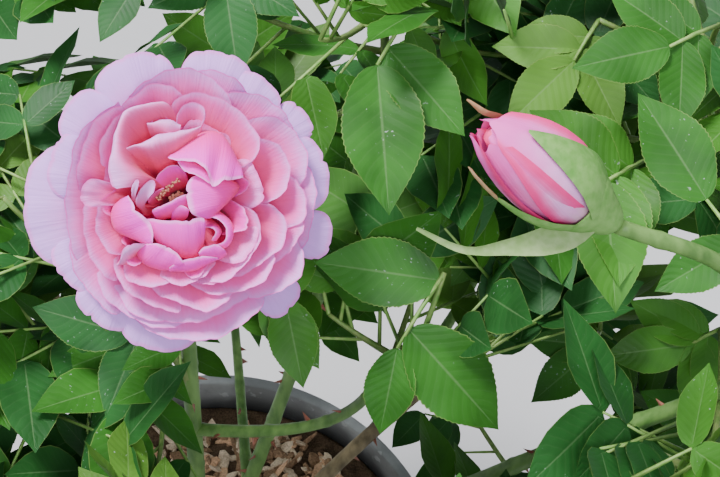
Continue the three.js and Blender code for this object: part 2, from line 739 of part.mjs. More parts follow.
// The bud's petals, rolled to a point.
function budSolid() {
  const from = budFoot.clone().addScaledVector(budAxis, HIP_LENGTH + SEAT);
  const radii = [5, 8.6, 10.8, BUD_RADIUS, 10.6, 8.4, 5.2, 2.2, 0.8];
  const radiusAt = (share) => radii[Math.round(share * (radii.length - 1))];
  return tube(new THREE.LineCurve3(from, budTip), radiusAt, 12, radii.length - 1);
}

// The long lobe's middle line. It leaves the hip, hangs out and bends up again at its tip.
const LEAFY_LOBE = [
  [153.4, -50.4, 748.7],
  [147, -60, 749.5],
  [134, -63, 754],
  [122, -65, 753],
  [114.5, -64, 750.5],
  [102.5, -58, 750.5],
];

// The bud's calyx: the hip, three lobes that still hug the bud and one long leafy lobe.
function budCalyxSolid() {
  const radii = [2.3, 4, 5.2, 5.4, 4.9];
  const radiusAt = (share) => radii[Math.round(share * (radii.length - 1))];
  const hipTop = budFoot.clone().addScaledVector(budAxis, HIP_LENGTH);
  const hipFoot = budFoot.clone().addScaledVector(budAxis, SEAT);
  const pieces = [tube(new THREE.LineCurve3(hipFoot, hipTop), radiusAt, 10, 4)];
  const across = budAxis.clone().cross(UP).normalize();
  const over = across.clone().cross(budAxis);
  for (const [turn, reach] of [[0.3, 30], [2.4, 24], [4.4, 34]]) {
    const out = across.clone().multiplyScalar(Math.cos(turn)).addScaledVector(over, Math.sin(turn));
    const at = (along, off) => hipTop.clone().addScaledVector(budAxis, along).addScaledVector(out, off);
    const curve = new THREE.CatmullRomCurve3([at(-3, 3.6), at(3, 10.4), at(10, 13.4), at(reach, 15)]);
    pieces.push(blade(curve, out, [3, 6, 7.5, 6, 3.5, 0.9], 1));
  }
  const leafy = new THREE.CatmullRomCurve3(LEAFY_LOBE.map(point));
  pieces.push(blade(leafy, new THREE.Vector3(0.2, -0.6, 0.77).normalize(), [3, 5, 8, 6, 4, 2.4, 1], 1));
  return fuse(pieces);
}

solids.set("pot", potSolid());
solids.set("potting_mix", mixSolid());
addCanes();
addBoughs();
traceLimbs();
MASSES.forEach(addMass);
solids.set("bloom", bloomSolid());
solids.set("bloom_calyx", bloomCalyxSolid());
solids.set("bud", budSolid());
solids.set("bud_calyx", budCalyxSolid());

// Colours and finishes, and the nodes that have each.
const finish = (color, roughness) => new THREE.MeshStandardMaterial({ color, roughness, metalness: 0 });
const FINISHES = [
  [/^pot$/, "pot", finish(0x1b1c1f, 0.55)],
  [/^potting_mix$/, "pot", finish(0x4a3020, 0.95)],
  [/^stump$/, "stems", finish(0x6b5842, 0.9)],
  [/cane$|bough$/, "stems", finish(0x5f8a45, 0.6)],
  [/^foliage/, "foliage", finish(0x3f7a38, 0.55)],
  [/calyx$/, "flowers", finish(0x8fae6a, 0.6)],
  [/^bloom$|^bud$/, "flowers", finish(0xeda7c4, 0.7)],
];

const bush = new THREE.Group();
for (const groupName of ["pot", "stems", "foliage", "flowers"]) {
  const group = new THREE.Group();
  for (const [name, solid] of solids) {
    const [, where, material] = FINISHES.find(([pattern]) => pattern.test(name));
    if (where !== groupName) continue;
    const mesh = new THREE.Mesh(geometryOf(solid), material.clone());
    mesh.name = name;
    group.add(mesh);
  }
  bush.add(group);
}
export default bush;
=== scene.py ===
"""A double pink rose bush in a black nursery pot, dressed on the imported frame.

Sizes are in millimetres, as in the part's source, and add_piece makes them metres. The
sections follow the plant as it stands: floor and light, pot, potting mix, stump and canes,
boughs, foliage, the open bloom and the bud.
"""

import math

import bpy
import numpy as np
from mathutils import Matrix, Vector


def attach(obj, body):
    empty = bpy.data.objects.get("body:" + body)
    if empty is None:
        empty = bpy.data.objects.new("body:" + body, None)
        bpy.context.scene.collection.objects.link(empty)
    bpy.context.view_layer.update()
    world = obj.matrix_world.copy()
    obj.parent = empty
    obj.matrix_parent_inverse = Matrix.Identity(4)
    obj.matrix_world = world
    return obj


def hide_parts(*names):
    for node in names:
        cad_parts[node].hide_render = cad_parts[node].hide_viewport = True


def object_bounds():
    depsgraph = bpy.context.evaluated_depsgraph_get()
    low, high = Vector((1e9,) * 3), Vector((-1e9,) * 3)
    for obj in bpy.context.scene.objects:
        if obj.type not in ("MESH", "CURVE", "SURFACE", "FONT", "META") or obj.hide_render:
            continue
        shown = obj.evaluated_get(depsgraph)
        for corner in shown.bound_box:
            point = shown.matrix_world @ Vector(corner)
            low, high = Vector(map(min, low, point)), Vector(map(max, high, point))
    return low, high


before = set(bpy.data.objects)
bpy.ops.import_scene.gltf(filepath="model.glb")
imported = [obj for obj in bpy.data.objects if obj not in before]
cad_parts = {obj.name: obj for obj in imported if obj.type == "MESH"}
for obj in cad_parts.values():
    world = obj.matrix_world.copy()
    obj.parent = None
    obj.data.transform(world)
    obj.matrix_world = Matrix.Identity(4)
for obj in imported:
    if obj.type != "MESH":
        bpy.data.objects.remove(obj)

cad_box = [list(map(float, corner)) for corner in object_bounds()]


# Floor, light and camera. The pot stands on a plain pale floor. Large soft lights stand in
# for the open sky, and the camera looks down on the bloom from arm's length.
CAMERA_PLACE = (0.0885, -0.2574, 1.0956)
CAMERA_TILT = 30  # degrees from straight down, so the view is 60 degrees above level
CAMERA_LENS = 76.2  # on a 36 mm sensor, which spans 26.6 degrees


class Value:
    """A socket that carries a number. Arithmetic on it adds Math nodes."""

    def __init__(self, finish, socket):
        self.finish = finish
        self.socket = socket

    def maths(self, operation, *values):
        return self.finish.node("ShaderNodeMath", {"operation": operation}, dict(enumerate(values)))

    def __add__(self, other):
        return self.maths("ADD", self, other)

    def __radd__(self, other):
        return self.maths("ADD", other, self)

    def __sub__(self, other):
        return self.maths("SUBTRACT", self, other)

    def __rsub__(self, other):
        return self.maths("SUBTRACT", other, self)

    def __mul__(self, other):
        return self.maths("MULTIPLY", self, other)

    def __abs__(self):
        return self.maths("ABSOLUTE", self)

    def fraction(self):
        return self.maths("FRACT", self)

    def step(self, low, high):
        """0 below low, 1 above high, and a smooth rise between them."""
        settings = {"interpolation_type": "SMOOTHSTEP"}
        sockets = {"Value": self, "From Min": low, "From Max": high}
        return self.finish.node("ShaderNodeMapRange", settings, sockets)


class Finish:
    """A material in the making, with its Principled shader."""

    def __init__(self, name, **constants):
        self.material = bpy.data.materials.new(name)
        self.material.use_nodes = True
        self.tree = self.material.node_tree
        self.shader = self.tree.nodes["Principled BSDF"]
        self.feed(self.shader, constants)

    def feed(self, node, sockets):
        """Links or sets a node's inputs, by name or number. A colour gets an alpha of 1."""
        for name, value in sockets.items():
            socket = node.inputs[name.replace("_", " ") if isinstance(name, str) else name]
            if isinstance(value, Value):
                self.tree.links.new(value.socket, socket)
            elif isinstance(value, tuple) and len(socket.default_value) > len(value):
                socket.default_value = (*value, 1)
            else:
                socket.default_value = value

    def node(self, kind, settings=None, sockets=None, output=0):
        """Adds a node with its settings first, then its sockets, and gives one output."""
        node = self.tree.nodes.new(kind)
        for name, value in (settings or {}).items():
            setattr(node, name, value)
        self.feed(node, sockets or {})
        return Value(self, node.outputs[output])

    def place(self, scale=(1, 1, 1)):
        """The place on the object in metres, stretched by a scale."""
        where = self.node("ShaderNodeTexCoord", output="Object")
        return self.node("ShaderNodeMapping", None, {"Vector": where, "Scale": scale})

    def across(self):
        """The two numbers of the piece's own map: across it and along it."""
        where = self.node("ShaderNodeUVMap", {"uv_map": "OFBake"})
        split = self.node("ShaderNodeSeparateXYZ", None, {"Vector": where})
        return split, Value(self, split.socket.node.outputs[1])

    def noise(self, where, scale, detail=3):
        """Cloudy values round 0.5, with about scale spots to each unit of where."""
        sockets = {"Vector": where, "Scale": scale, "Detail": detail}
        return self.node("ShaderNodeTexNoise", None, sockets)

    def veins(self, across, along):
        """Noise drawn out along the piece's map, for the fine veins of a petal."""
        fan = self.node("ShaderNodeCombineXYZ", None, {"X": across, "Y": along})
        return self.noise(fan, 1.0, 2)

    def two_tone(self, grain, patch, dark, light, low=0.35):
        """Colours the piece between a dark and a light tone, by grain and patches."""
        self.colour(self.mix((grain + patch).step(low, 0.75), dark, light))

    def mix(self, share, first, second):
        """A colour between two others."""
        sockets = {0: share, 6: first, 7: second}
        return self.node("ShaderNodeMix", {"data_type": "RGBA"}, sockets, output=2)

    def colour(self, value):
        self.tree.links.new(value.socket, self.shader.inputs["Base Color"])

    def bump(self, height, distance, strength):
        sockets = {"Height": height, "Distance": distance, "Strength": strength}
        normal = self.node("ShaderNodeBump", None, sockets)
        self.tree.links.new(normal.socket, self.shader.inputs["Normal"])

    def let_light_through(self, share, colour):
        """Mixes in a shader that passes on light from behind, as thin leaves and petals do."""
        behind = self.node("ShaderNodeBsdfTranslucent", None, {"Color": colour})
        front = Value(self, self.shader.outputs[0])
        both = self.node("ShaderNodeMixShader", None, {0: share, 1: front, 2: behind})
        self.tree.links.new(both.socket, self.tree.nodes["Material Output"].inputs["Surface"])


def add_piece(name, points, triangles, finishes, slot=None, uv=None, rows=None, sharp=None):
    """Makes an object from points in mm and triangles. uv has a pair for each point, rows the
    place of each triangle's finish in the list, and edges over sharp degrees stay sharp."""
    mesh = bpy.data.meshes.new(name)
    mesh.vertices.add(len(points))
    mesh.vertices.foreach_set("co", (np.asarray(points) * 0.001).astype(np.float32).ravel())
    mesh.loops.add(triangles.size)
    mesh.loops.foreach_set("vertex_index", triangles.astype(np.int32).ravel())
    mesh.polygons.add(len(triangles))
    mesh.polygons.foreach_set("loop_start", np.arange(0, triangles.size, 3, dtype=np.int32))
    mesh.update(calc_edges=True)
    mesh.shade_smooth()
    if sharp is not None:
        mesh.set_sharp_from_angle(angle=math.radians(sharp))
    if uv is not None:
        layer = mesh.uv_layers.new(name="OFBake")
        layer.uv.foreach_set("vector", np.asarray(uv)[triangles.ravel()].astype(np.float32).ravel())
    for finish in finishes:
        mesh.materials.append(finish.material)
    if rows is not None:
        mesh.polygons.foreach_set("material_index", rows.astype(np.int32))
    piece = bpy.data.objects.new(name, mesh)
    bpy.context.scene.collection.objects.link(piece)
    if slot:
        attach(piece, "root")
    return piece


def skin(index):
    """Triangles over a grid of point numbers, without those that vanish at a pole. They face
    the cross product of the way along a row and the way from row to row."""
    a, b, c, d = index[:-1, :-1], index[:-1, 1:], index[1:, 1:], index[1:, :-1]
    corners = [np.stack([a, b, c], -1).reshape(-1, 3), np.stack([a, c, d], -1).reshape(-1, 3)]
    triangles = np.concatenate(corners)
    i, j, k = triangles.T
    return triangles[(i != j) & (j != k) & (i != k)]


def plain_finish(name, gloss, scale, dark, light):
    """One even grain between two tones."""
    finish = Finish(name, Roughness=gloss)
    finish.colour(finish.mix(finish.noise(finish.place(), scale), dark, light))
    return finish


FLOOR_REACH = 3000.0
corners = np.array([[-1, -1, 0], [1, -1, 0], [-1, 1, 0], [1, 1, 0]]) * FLOOR_REACH
pale_floor = plain_finish("floor_pale", 0.9, 3.0, (0.62, 0.62, 0.61), (0.68, 0.68, 0.66))
floor = add_piece("floor", corners, skin(np.arange(4).reshape(2, 2)), [pale_floor])


def add_light(name, place, target, size, power, colour):
    light = bpy.data.lights.new(name, "AREA")
    light.shape = "DISK"
    light.size = size
    light.energy = power
    light.color = colour
    lamp = bpy.data.objects.new(name, light)
    lamp.location = place
    lamp.rotation_euler = (Vector(target) - Vector(place)).to_track_quat("-Z", "Y").to_euler()
    bpy.context.scene.collection.objects.link(lamp)


add_light("sky_key", (-0.45, 0.35, 2.0), (0.05, 0, 0.6), 0.45, 54, (0.97, 0.95, 1))
add_light("sky_front", (0.4, -1.05, 2.0), (0.05, 0, 0.6), 1.0, 32, (0.9, 0.92, 1))
add_light("sky_left", (-1.6, -0.5, 1.3), (0, 0, 0.45), 1.2, 10, (0.93, 0.95, 1))
world = bpy.data.worlds.new("sky")
world.use_nodes = True
world.node_tree.nodes["Background"].inputs["Color"].default_value = (0.84, 0.9, 1, 1)
world.node_tree.nodes["Background"].inputs["Strength"].default_value = 0.5
bpy.context.scene.world = world

lens = bpy.data.cameras.new("camera")
lens.sensor_width = 36
lens.lens = CAMERA_LENS
lens.clip_start = 0.02
camera = bpy.data.objects.new("camera", lens)
camera.location = CAMERA_PLACE
camera.rotation_euler = (math.radians(CAMERA_TILT), 0, 0)
bpy.context.scene.collection.objects.link(camera)
bpy.context.scene.camera = camera


# Pot: a black nursery pot, blow-moulded from thin plastic with a thicker band round its rim.
# It has stood outdoors, so dust and dried splashes lie on its rim and inside its wall, and the band at its
# rim is painted paler still, as painted sunlight glaring on it.
POT_HEIGHT = 240.0
POT_RIM_RADIUS = 140.0
POT_FOOT_RADIUS = 108.0
POT_WALL = 2.2
RIM_BAND_HEIGHT = 24.0
RIM_BAND_STEP = 4.0


def wall_radius(height):
    """The outside of the pot's wall below the band, which leans out evenly."""
    lean = (POT_RIM_RADIUS - RIM_BAND_STEP - POT_FOOT_RADIUS) / POT_HEIGHT
    return POT_FOOT_RADIUS + lean * height


def rounded(profile, radius=1.4, steps=5):
    """Rounds each inner corner of a profile: a quadratic curve from a point a little before
    the corner to one a little after it, with the corner as its handle."""
    profile = np.asarray(profile, float)
    rows = [profile[:1]]
    share = np.linspace(0, 1, steps)[:, None]
    for before, corner, after in zip(profile, profile[1:], profile[2:]):
        ends = []
        for other in (before, after):
            gap = np.linalg.norm(other - corner)
            ends.append(corner + (other - corner) * min(radius, gap * 0.45) / gap)
        rows.append((1 - share) ** 2 * ends[0] + 2 * share * (1 - share) * corner + share**2 * ends[1])
    return np.vstack([*rows, profile[-1:]])


def revolve(profile, sides, relief=None):
    """Turns a profile of radius and height about +Z. relief gives what is added to the radius
    at an angle and a row. A row of no radius is one point."""
    angle = np.linspace(0, 2 * np.pi, sides, endpoint=False)
    radius = np.repeat(profile[:, :1], sides, axis=1)
    height = np.repeat(profile[:, 1:], sides, axis=1)
    if relief is not None:
        radius = radius + np.where(radius > 0, relief(angle[None, :], height), 0)
    points = np.stack([radius * np.cos(angle), radius * np.sin(angle), height], -1).reshape(-1, 3)
    index = np.arange(len(profile) * sides).reshape(-1, sides)
    index = np.where(profile[:, :1] > 0, index, index[:, :1])
    return points, skin(np.hstack([index, index[:, :1]]))


def pot_finish():
    finish = Finish("black_pot_plastic", Roughness=0.5, Specular_IOR_Level=0.4)
    place = finish.place()
    dust = finish.noise(place, 26.0, 6).step(0.45, 0.75)
    splash = finish.noise(place, 120.0, 3).step(0.62, 0.7)
    height = finish.node("ShaderNodeSeparateXYZ", None, {"Vector": place}, output=2)
    near_rim = height.step(0.205, 0.238)
    # Dust and splashes, and painted sunlight: the band at the rim is made paler for sun glaring on the
    # plastic.
    dust_and_painted_sun = (dust * 0.5 + splash * 0.3 + near_rim * 0.35 + 0.1) * (near_rim * 0.85 + 0.15)
    finish.colour(finish.mix(dust_and_painted_sun, (0.013, 0.0135, 0.015), (0.5, 0.51, 0.5)))
    finish.feed(finish.shader, {"Roughness": 0.42 + dust_and_painted_sun * 0.6})
    finish.bump(finish.noise(place, 420.0, 2) + splash * 0.5, 0.0003, 0.5)
    return finish


band_foot = POT_HEIGHT - RIM_BAND_HEIGHT
pot_profile = rounded([
    [0, 0],
    [POT_FOOT_RADIUS, 0],
    [wall_radius(band_foot) - 0.2, band_foot],
    [POT_RIM_RADIUS - 1.2, band_foot + 1],
    [POT_RIM_RADIUS - 0.2, POT_HEIGHT - 4],
    [POT_RIM_RADIUS, POT_HEIGHT],
    [wall_radius(POT_HEIGHT) - POT_WALL, POT_HEIGHT],
    [wall_radius(band_foot) - POT_WALL, band_foot],
    [wall_radius(POT_WALL) - POT_WALL, POT_WALL],
    [0, POT_WALL],
])
pot = add_piece("pot_shell", *revolve(pot_profile, 144), [pot_finish()], "pot", sharp=40)
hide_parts("pot")


# Potting mix: composted bark and peat, which fills the pot to 28 mm below its rim and stands
# a little higher round the stump. Loose bark chips lie all over it, coloured paler than bark as painted
# sunlight.
MIX_EDGE = 212.0
MIX_CROWN = 9.0
MIX_RADIUS = wall_radius(MIX_EDGE) - POT_WALL - 0.45
CHIPS = 1300
CHIP_SIDES = 8


def waves(*places, seed=0, count=9, spread=1.0):
    """Smooth uneven values round 0: sines of many slanted sums of the places, added up."""
    draw = np.random.default_rng(seed)
    total = 0
    for _ in range(count):
        ways = draw.normal(0, spread, len(places))
        total = total + np.sin(sum(way * place for way, place in zip(ways, places)) + draw.uniform(0, 7))
    return total / math.sqrt(count)


def bed_height(radius):
    """How high the mix stands at a distance from the middle."""
    return MIX_EDGE + MIX_CROWN * (1 - np.clip(radius / MIX_RADIUS, 0, 1) ** 1.7)


def repeated(points, triangles):
    """The same triangles over each of many lots of points."""
    starts = points.shape[1] * np.arange(len(points))[:, None, None]
    return points.reshape(-1, 3), (triangles[None] + starts).reshape(-1, 3)


def mix_finish(name, dark, light):
    finish = Finish(name, Roughness=0.95, Specular_IOR_Level=0.2)
    place = finish.place()
    fibre = finish.noise(finish.place((1, 1, 0.3)), 900.0, 5)
    patch = finish.noise(place, 130.0, 4)
    finish.two_tone(fibre * 0.6, patch * 0.5, dark, light, 0.3)
    finish.bump(fibre, 0.0006, 0.8)
    return finish


def mix_bed():
    """The bed of mix: rings out to the wall on top, with bumps, and a plain body below."""
    radius = MIX_RADIUS * np.linspace(1, 0, 60)
    top = np.stack([radius, bed_height(radius)], -1)
    foot = POT_WALL + 0.3
    body = [[0, foot], [wall_radius(foot) - POT_WALL - 0.5, foot]]
    points, triangles = revolve(np.vstack([body, top]), 180)
    x, y, z = points.T
    bumps = waves(x, y, seed=3, spread=0.35) + 0.7 * waves(x, y, seed=4, spread=0.9)
    from_wall = np.clip((MIX_RADIUS - np.hypot(x, y)) / 6, 0, 1)
    points[:, 2] += np.where(z > foot, bumps * from_wall * 0.9 - 0.8, 0)
    return points, triangles


def bark_chips():
    """Split bits of bark: long lumps of eight uneven sides, worn off round the top and the
    bottom, each tilted its own way and laid on the bed."""
    draw = np.random.default_rng(8)
    around = 2 * np.pi * (np.arange(CHIP_SIDES) + 0.5) / CHIP_SIDES
    level = np.array([-1, -0.5, 0.45, 1])[:, None]
    inset = np.array([0.6, 1, 0.95, 0.62])[:, None]
    corners = CHIP_SIDES * len(level)
    ring = np.append(np.arange(CHIP_SIDES), 0)
    wall = skin(CHIP_SIDES * np.arange(len(level))[:, None] + ring)
    cap = np.array([[0, c, c + 1] for c in range(1, CHIP_SIDES - 1)])
    block = np.concatenate([wall, cap + corners - CHIP_SIDES, cap[:, ::-1]])
    length = draw.gamma(4, 1.2, (CHIPS, 1, 1)) + 1.5
    width = draw.uniform(1.5, 4, (CHIPS, 1, 1))
    thickness = draw.uniform(0.8, 2.2, (CHIPS, 1, 1))
    side = inset * draw.uniform(0.68, 1.12, (CHIPS, 1, CHIP_SIDES))
    shape = np.stack([
        length * side * np.cos(around),
        width * side * np.sin(around),
        thickness * level * draw.uniform(0.7, 1.15, (CHIPS, 1, CHIP_SIDES)),
    ], -1).reshape(CHIPS, corners, 3)
    tilt = draw.normal(0, 0.35, (CHIPS, 2))
    turn = draw.uniform(0, 2 * np.pi, CHIPS)
    x = shape[..., 0] * np.cos(turn)[:, None] - shape[..., 1] * np.sin(turn)[:, None]
    y = shape[..., 0] * np.sin(turn)[:, None] + shape[..., 1] * np.cos(turn)[:, None]
    z = shape[..., 2] + x * tilt[:, :1] + y * tilt[:, 1:]
    out = 19 + (MIX_RADIUS - 30) * np.sqrt(draw.uniform(0, 1, CHIPS))
    angle = draw.uniform(0, 2 * np.pi, CHIPS)
    lift = bed_height(out) - 0.4 + draw.uniform(0, 1.6, CHIPS)
    middle = np.stack([out * np.cos(angle), out * np.sin(angle), lift], -1)
    points = np.stack([x, y, z], -1) + middle[:, None]
    kinds = draw.integers(0, 3, CHIPS)
    return *repeated(points, block), np.repeat(kinds, len(block))


peat = mix_finish("peat", (0.04, 0.025, 0.016), (0.16, 0.1, 0.06))
bed = add_piece("mix_bed", *mix_bed(), [peat], "potting_mix")
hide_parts("potting_mix")
*chip_mesh, chip_rows = bark_chips()
# The chips' colours are painted lighter than their bark, for sunlight falling on them.
sunlit_chip_finishes = [
    mix_finish("chip_dark", (0.14, 0.08, 0.045), (0.42, 0.26, 0.15)),
    mix_finish("chip_red", (0.38, 0.2, 0.11), (0.85, 0.54, 0.33)),
    mix_finish("chip_grey", (0.42, 0.31, 0.21), (0.88, 0.7, 0.5)),
]
add_piece("bark_chips", *chip_mesh, sunlit_chip_finishes, "potting_mix", rows=chip_rows, sharp=30)


# Stump: the short woody foot from which all the canes rise. Its bark is grey-brown and split
# into short ridges, and it swells to a knob where canes were cut back.
STUMP_FOOT = MIX_EDGE + MIX_CROWN + 0.3
STUMP_HEIGHT = 36.0
STUMP_FLARE = 22.0
STUMP_WAIST = 15.0
STUMP_KNOB = 20.0


def bark_finish(name, dark, light, ridges, depth, gloss):
    """Bark with a grain that runs up the stem."""
    finish = Finish(name, Roughness=gloss, Specular_IOR_Level=0.3)
    grain = finish.noise(finish.place((1, 1, 0.22)), ridges, 5)
    patch = finish.noise(finish.place(), 40.0, 3)
    finish.two_tone(grain * 0.7, patch * 0.4, dark, light)
    finish.bump(grain, depth, 0.8)
    return finish


def stump_mesh():
    """Turned about the plant's axis, with the ridges of its bark added to its radius."""
    rows = np.array([
        [0, 0], [STUMP_FLARE, 0], [STUMP_WAIST + 2, 0.2], [STUMP_WAIST, 0.4],
        [STUMP_KNOB - 1, 0.62], [STUMP_KNOB, 0.7], [STUMP_KNOB * 0.72, 0.92], [6, 0.985], [0, 1],
    ])
    rows[:, 1] = STUMP_FOOT + STUMP_HEIGHT * rows[:, 1]
    profile = rounded(rows, 5, 9)

    def ridges(angle, height):
        round_x, round_y = 3 * np.cos(angle), 3 * np.sin(angle)
        coarse = waves(round_x, round_y, height * 0.07, seed=5, spread=1.2)
        fine = waves(round_x, round_y, height * 0.16, seed=6, spread=3.0)
        return np.clip(coarse * 0.8 + fine * 0.45 - 0.4, -1.5, 0.5)

    return revolve(profile, 96, ridges)


old_bark = bark_finish("old_bark", (0.05, 0.035, 0.022), (0.2, 0.16, 0.11), 260.0, 0.0016, 0.9)
stump = add_piece("stump_bark", *stump_mesh(), [old_bark], "old_wood")
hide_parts("stump")


# Canes: this year's and last year's stems, 9 to 10 mm thick at the stump. The bark is smooth,
# green on the young ones and brown on the old, with a low ring at each old leaf and a few
# prickles.
def unit(v):
    return v / np.linalg.norm(v, axis=-1, keepdims=True)


BLOOM_CENTRE = np.array([33.0, -13.0, 694.0])
BLOOM_AXIS = unit(np.array([0.117, -0.515, 0.846]))
CUP_FOOT = 37.5
BUD_FOOT = np.array([157.2, -51.5, 745.7])
BUD_TIP = np.array([118.3, -40.0, 776.5])
BUD_AXIS = unit(BUD_TIP - BUD_FOOT)
BUD_NECK = np.array([192.0, -49.0, 718.0])
UP = np.array([0.0, 0.0, 1.0])
CANE_RADII = (4.4, 2.6)
CANES = {  # place round the stump, then the tip's compass angle, distance out and height
    "right_cane": (1, 15, 195, 560),
    "back_cane": (2, 45, 127, 562),
    "back_left_cane": (3, 122, 143, 496),
    "left_cane": (4, 175, 122, 468),
    "front_left_cane": (5, 233, 143, 482),
    "front_cane": (6, 291, 139, 506),
}
BUD_CANE_TOP = (0, -11, 224, 640)


def polar(angle, out, height):
    turn = math.radians(angle)
    return np.array([out * math.cos(turn), out * math.sin(turn), height])


class Line:
    """A curve kept as many points, read by the share of its length."""

    def __init__(self, points):
        self.points = points
        steps = np.linalg.norm(np.diff(points, axis=0), axis=1)
        self.length = steps.sum()
        self.shares = np.concatenate([[0], np.cumsum(steps)]) / self.length

    def at(self, share):
        return np.stack([np.interp(share, self.shares, axis) for axis in self.points.T], -1)

    def along(self, share):
        ahead = self.at(np.minimum(np.asarray(share) + 0.005, 1))
        behind = self.at(np.maximum(np.asarray(share) - 0.005, 0))
        return unit(ahead - behind)


def through(corners):
    """The smooth curve through some corners: between two of them a cubic, whose slopes come
    from the corners on both sides, spaced by the square roots of their distances."""
    corners = np.asarray(corners, float)
    p = np.vstack([2 * corners[0] - corners[1], corners, 2 * corners[-1] - corners[-2]])
    gap = np.sqrt(np.linalg.norm(np.diff(p, axis=0), axis=1))
    t = np.linspace(0, 1, 50)[:, None]
    rows = []
    for i in range(1, len(p) - 2):
        a, b, c, d = p[i - 1 : i + 3]
        g, h, k = gap[i - 1 : i + 2]
        slope_b = ((b - a) / g - (c - a) / (g + h) + (c - b) / h) * h
        slope_c = ((c - b) / h - (d - b) / (h + k) + (d - c) / k) * h
        rows.append(
            b * (2 * t**3 - 3 * t**2 + 1) + slope_b * (t**3 - 2 * t**2 + t)
            + c * (3 * t**2 - 2 * t**3) + slope_c * (t**3 - t**2)
        )
    return Line(np.vstack([row[:-1] for row in rows] + [corners[-1:]]))


def bend(start, direction, end, share=0.5):
    """The curve that leaves a point along a direction and runs to another: a quadratic."""
    handle = start + direction * share * np.linalg.norm(end - start)
    t = np.linspace(0, 1, 40)[:, None]
    return (1 - t) ** 2 * start + 2 * t * (1 - t) * handle + t**2 * end


def cane_line(slot, angle, out, height):
    """Rises steeply from its place on the stump and leans out ever more."""
    foot = polar(360 / 7 * (slot - 0.5), STUMP_WAIST, STUMP_FOOT + STUMP_HEIGHT * 0.55)
    tip = polar(angle, out, height)
    aside = polar(angle + 90, 7 * math.sin(slot * 2.4), 0)
    rows = []
    for share in (0, 0.36, 0.7, 1):
        p = foot + (tip - foot) * share**1.15
        p[2] = foot[2] + (tip[2] - foot[2]) * share
        rows.append(p + aside * math.sin(math.pi * share))
    return rows


bud_under = BUD_FOOT - BUD_AXIS * 0.3
bloom_under = BLOOM_CENTRE - BLOOM_AXIS * (CUP_FOOT + 0.3)
bloom_neck = bloom_under - BLOOM_AXIS * 32
bloom_foot = np.array([0, 0, STUMP_FOOT + STUMP_HEIGHT * 0.66])
bloom_corners = [bloom_foot + (bloom_neck - bloom_foot) * share for share in (0, 0.3, 0.62, 1)]
limbs = {
    "bloom_cane": (through([*bloom_corners, bloom_under]), (5.0, 2.5)),
    "bud_cane": (through([*cane_line(*BUD_CANE_TOP), BUD_NECK, bud_under]), (4.6, 2.2)),
}
for name, row in CANES.items():
    limbs[name] = (through(cane_line(*row)), CANE_RADII)


def frames_along(points):
    """Two normals at each point of a line. The first starts out along +X or +Z, made square
    to the line, and is carried along it without twisting. The second is square to both."""
    along = unit(np.gradient(points, axis=0))
    side = np.empty_like(points)
    guess = np.array([1.0, 0, 0]) if abs(along[0][2]) > 0.7 else UP
    for i, way in enumerate(along):
        guess = unit(guess - way * guess.dot(way))
        side[i] = guess
    return side, np.cross(along, side)


def tube(points, radii, sides, relief=None):
    """A profile carried along a path: rings round its points, closed at both ends. relief
    gives what is added to the radius at an angle and a distance along the path."""
    side, over = frames_along(points)
    angle = np.linspace(0, 2 * np.pi, sides, endpoint=False)
    run = np.concatenate([[0], np.cumsum(np.linalg.norm(np.diff(points, axis=0), axis=1))])
    radius = np.repeat(np.asarray(radii, float)[:, None], sides, axis=1)
    if relief is not None:
        radius = radius + relief(angle[None, :], run[:, None])
    out = side[:, None] * np.cos(angle)[None, :, None] + over[:, None] * np.sin(angle)[None, :, None]
    rings = points[:, None] + out * radius[..., None]
    count = len(points) * sides
    index = np.arange(count).reshape(-1, sides)
    index = np.vstack([np.full((1, sides), count), index, np.full((1, sides), count + 1)])
    verts = np.vstack([rings.reshape(-1, 3), points[:1], points[-1:]])
    return verts, skin(np.hstack([index, index[:, :1]]))


def joined(parts):
    """Several lots of points and triangles as one."""
    starts = np.cumsum([0] + [len(points) for points, _ in parts[:-1]])
    triangles = np.vstack([triangles + start for start, (_, triangles) in zip(starts, parts)])
    return np.vstack([points for points, _ in parts]), triangles


def cane_mesh(line, radii, seed):
    """A tapering tube with faint ridges along it and a low ring at each old leaf, which both
    fade out at its upper end."""
    steps = max(12, int(line.length / 3))
    share = np.linspace(0, 1, steps)
    draw = np.random.default_rng(seed)
    spacing = draw.uniform(30, 38)
    start = draw.uniform(0, spacing)

    def relief(angle, run):
        from_ring = (run - start) / spacing
        off = (from_ring - np.round(from_ring)) * spacing
        ring = 0.35 * np.exp(-((off / 1.6) ** 2))
        ridges = 0.09 * waves(2 * np.cos(angle), 2 * np.sin(angle), run * 0.02, seed=seed, spread=1.6)
        fade = np.clip((line.length - run) / 6, 0, 1)
        return (ring + ridges) * fade

    radius = radii[0] + (radii[1] - radii[0]) * share
    return tube(line.at(share), radius, 16, relief)


def prickles(line, radii, seed):
    """Flat hooked thorns, each four sides to a point that hangs a little, set sparsely round
    the cane."""
    draw = np.random.default_rng(seed)
    count = int(line.length / 26)
    share = np.sort(draw.uniform(0.06, 0.86, count))
    along = line.along(share)
    turn = draw.uniform(0, 2 * np.pi, (count, 1))
    side = unit(np.cross(along, UP + 0.01))
    out = side * np.cos(turn) + np.cross(along, side) * np.sin(turn)
    across = np.cross(along, out)
    radius = (radii[0] + (radii[1] - radii[0]) * share)[:, None]
    size = draw.uniform(2.6, 4.6, (count, 1))
    foot = line.at(share) + out * (radius - 0.5)
    low, high = foot - along * size * 0.55, foot + along * size * 0.4
    left, right = foot - across * size * 0.2, foot + across * size * 0.2
    tip = foot + out * (size + 0.5) - along * size * 0.45
    thorn = np.array([[0, 1, 4], [1, 2, 4], [2, 3, 4], [3, 0, 4], [0, 3, 1], [1, 3, 2]])
    return repeated(np.stack([low, right, high, left, tip], 1), thorn)


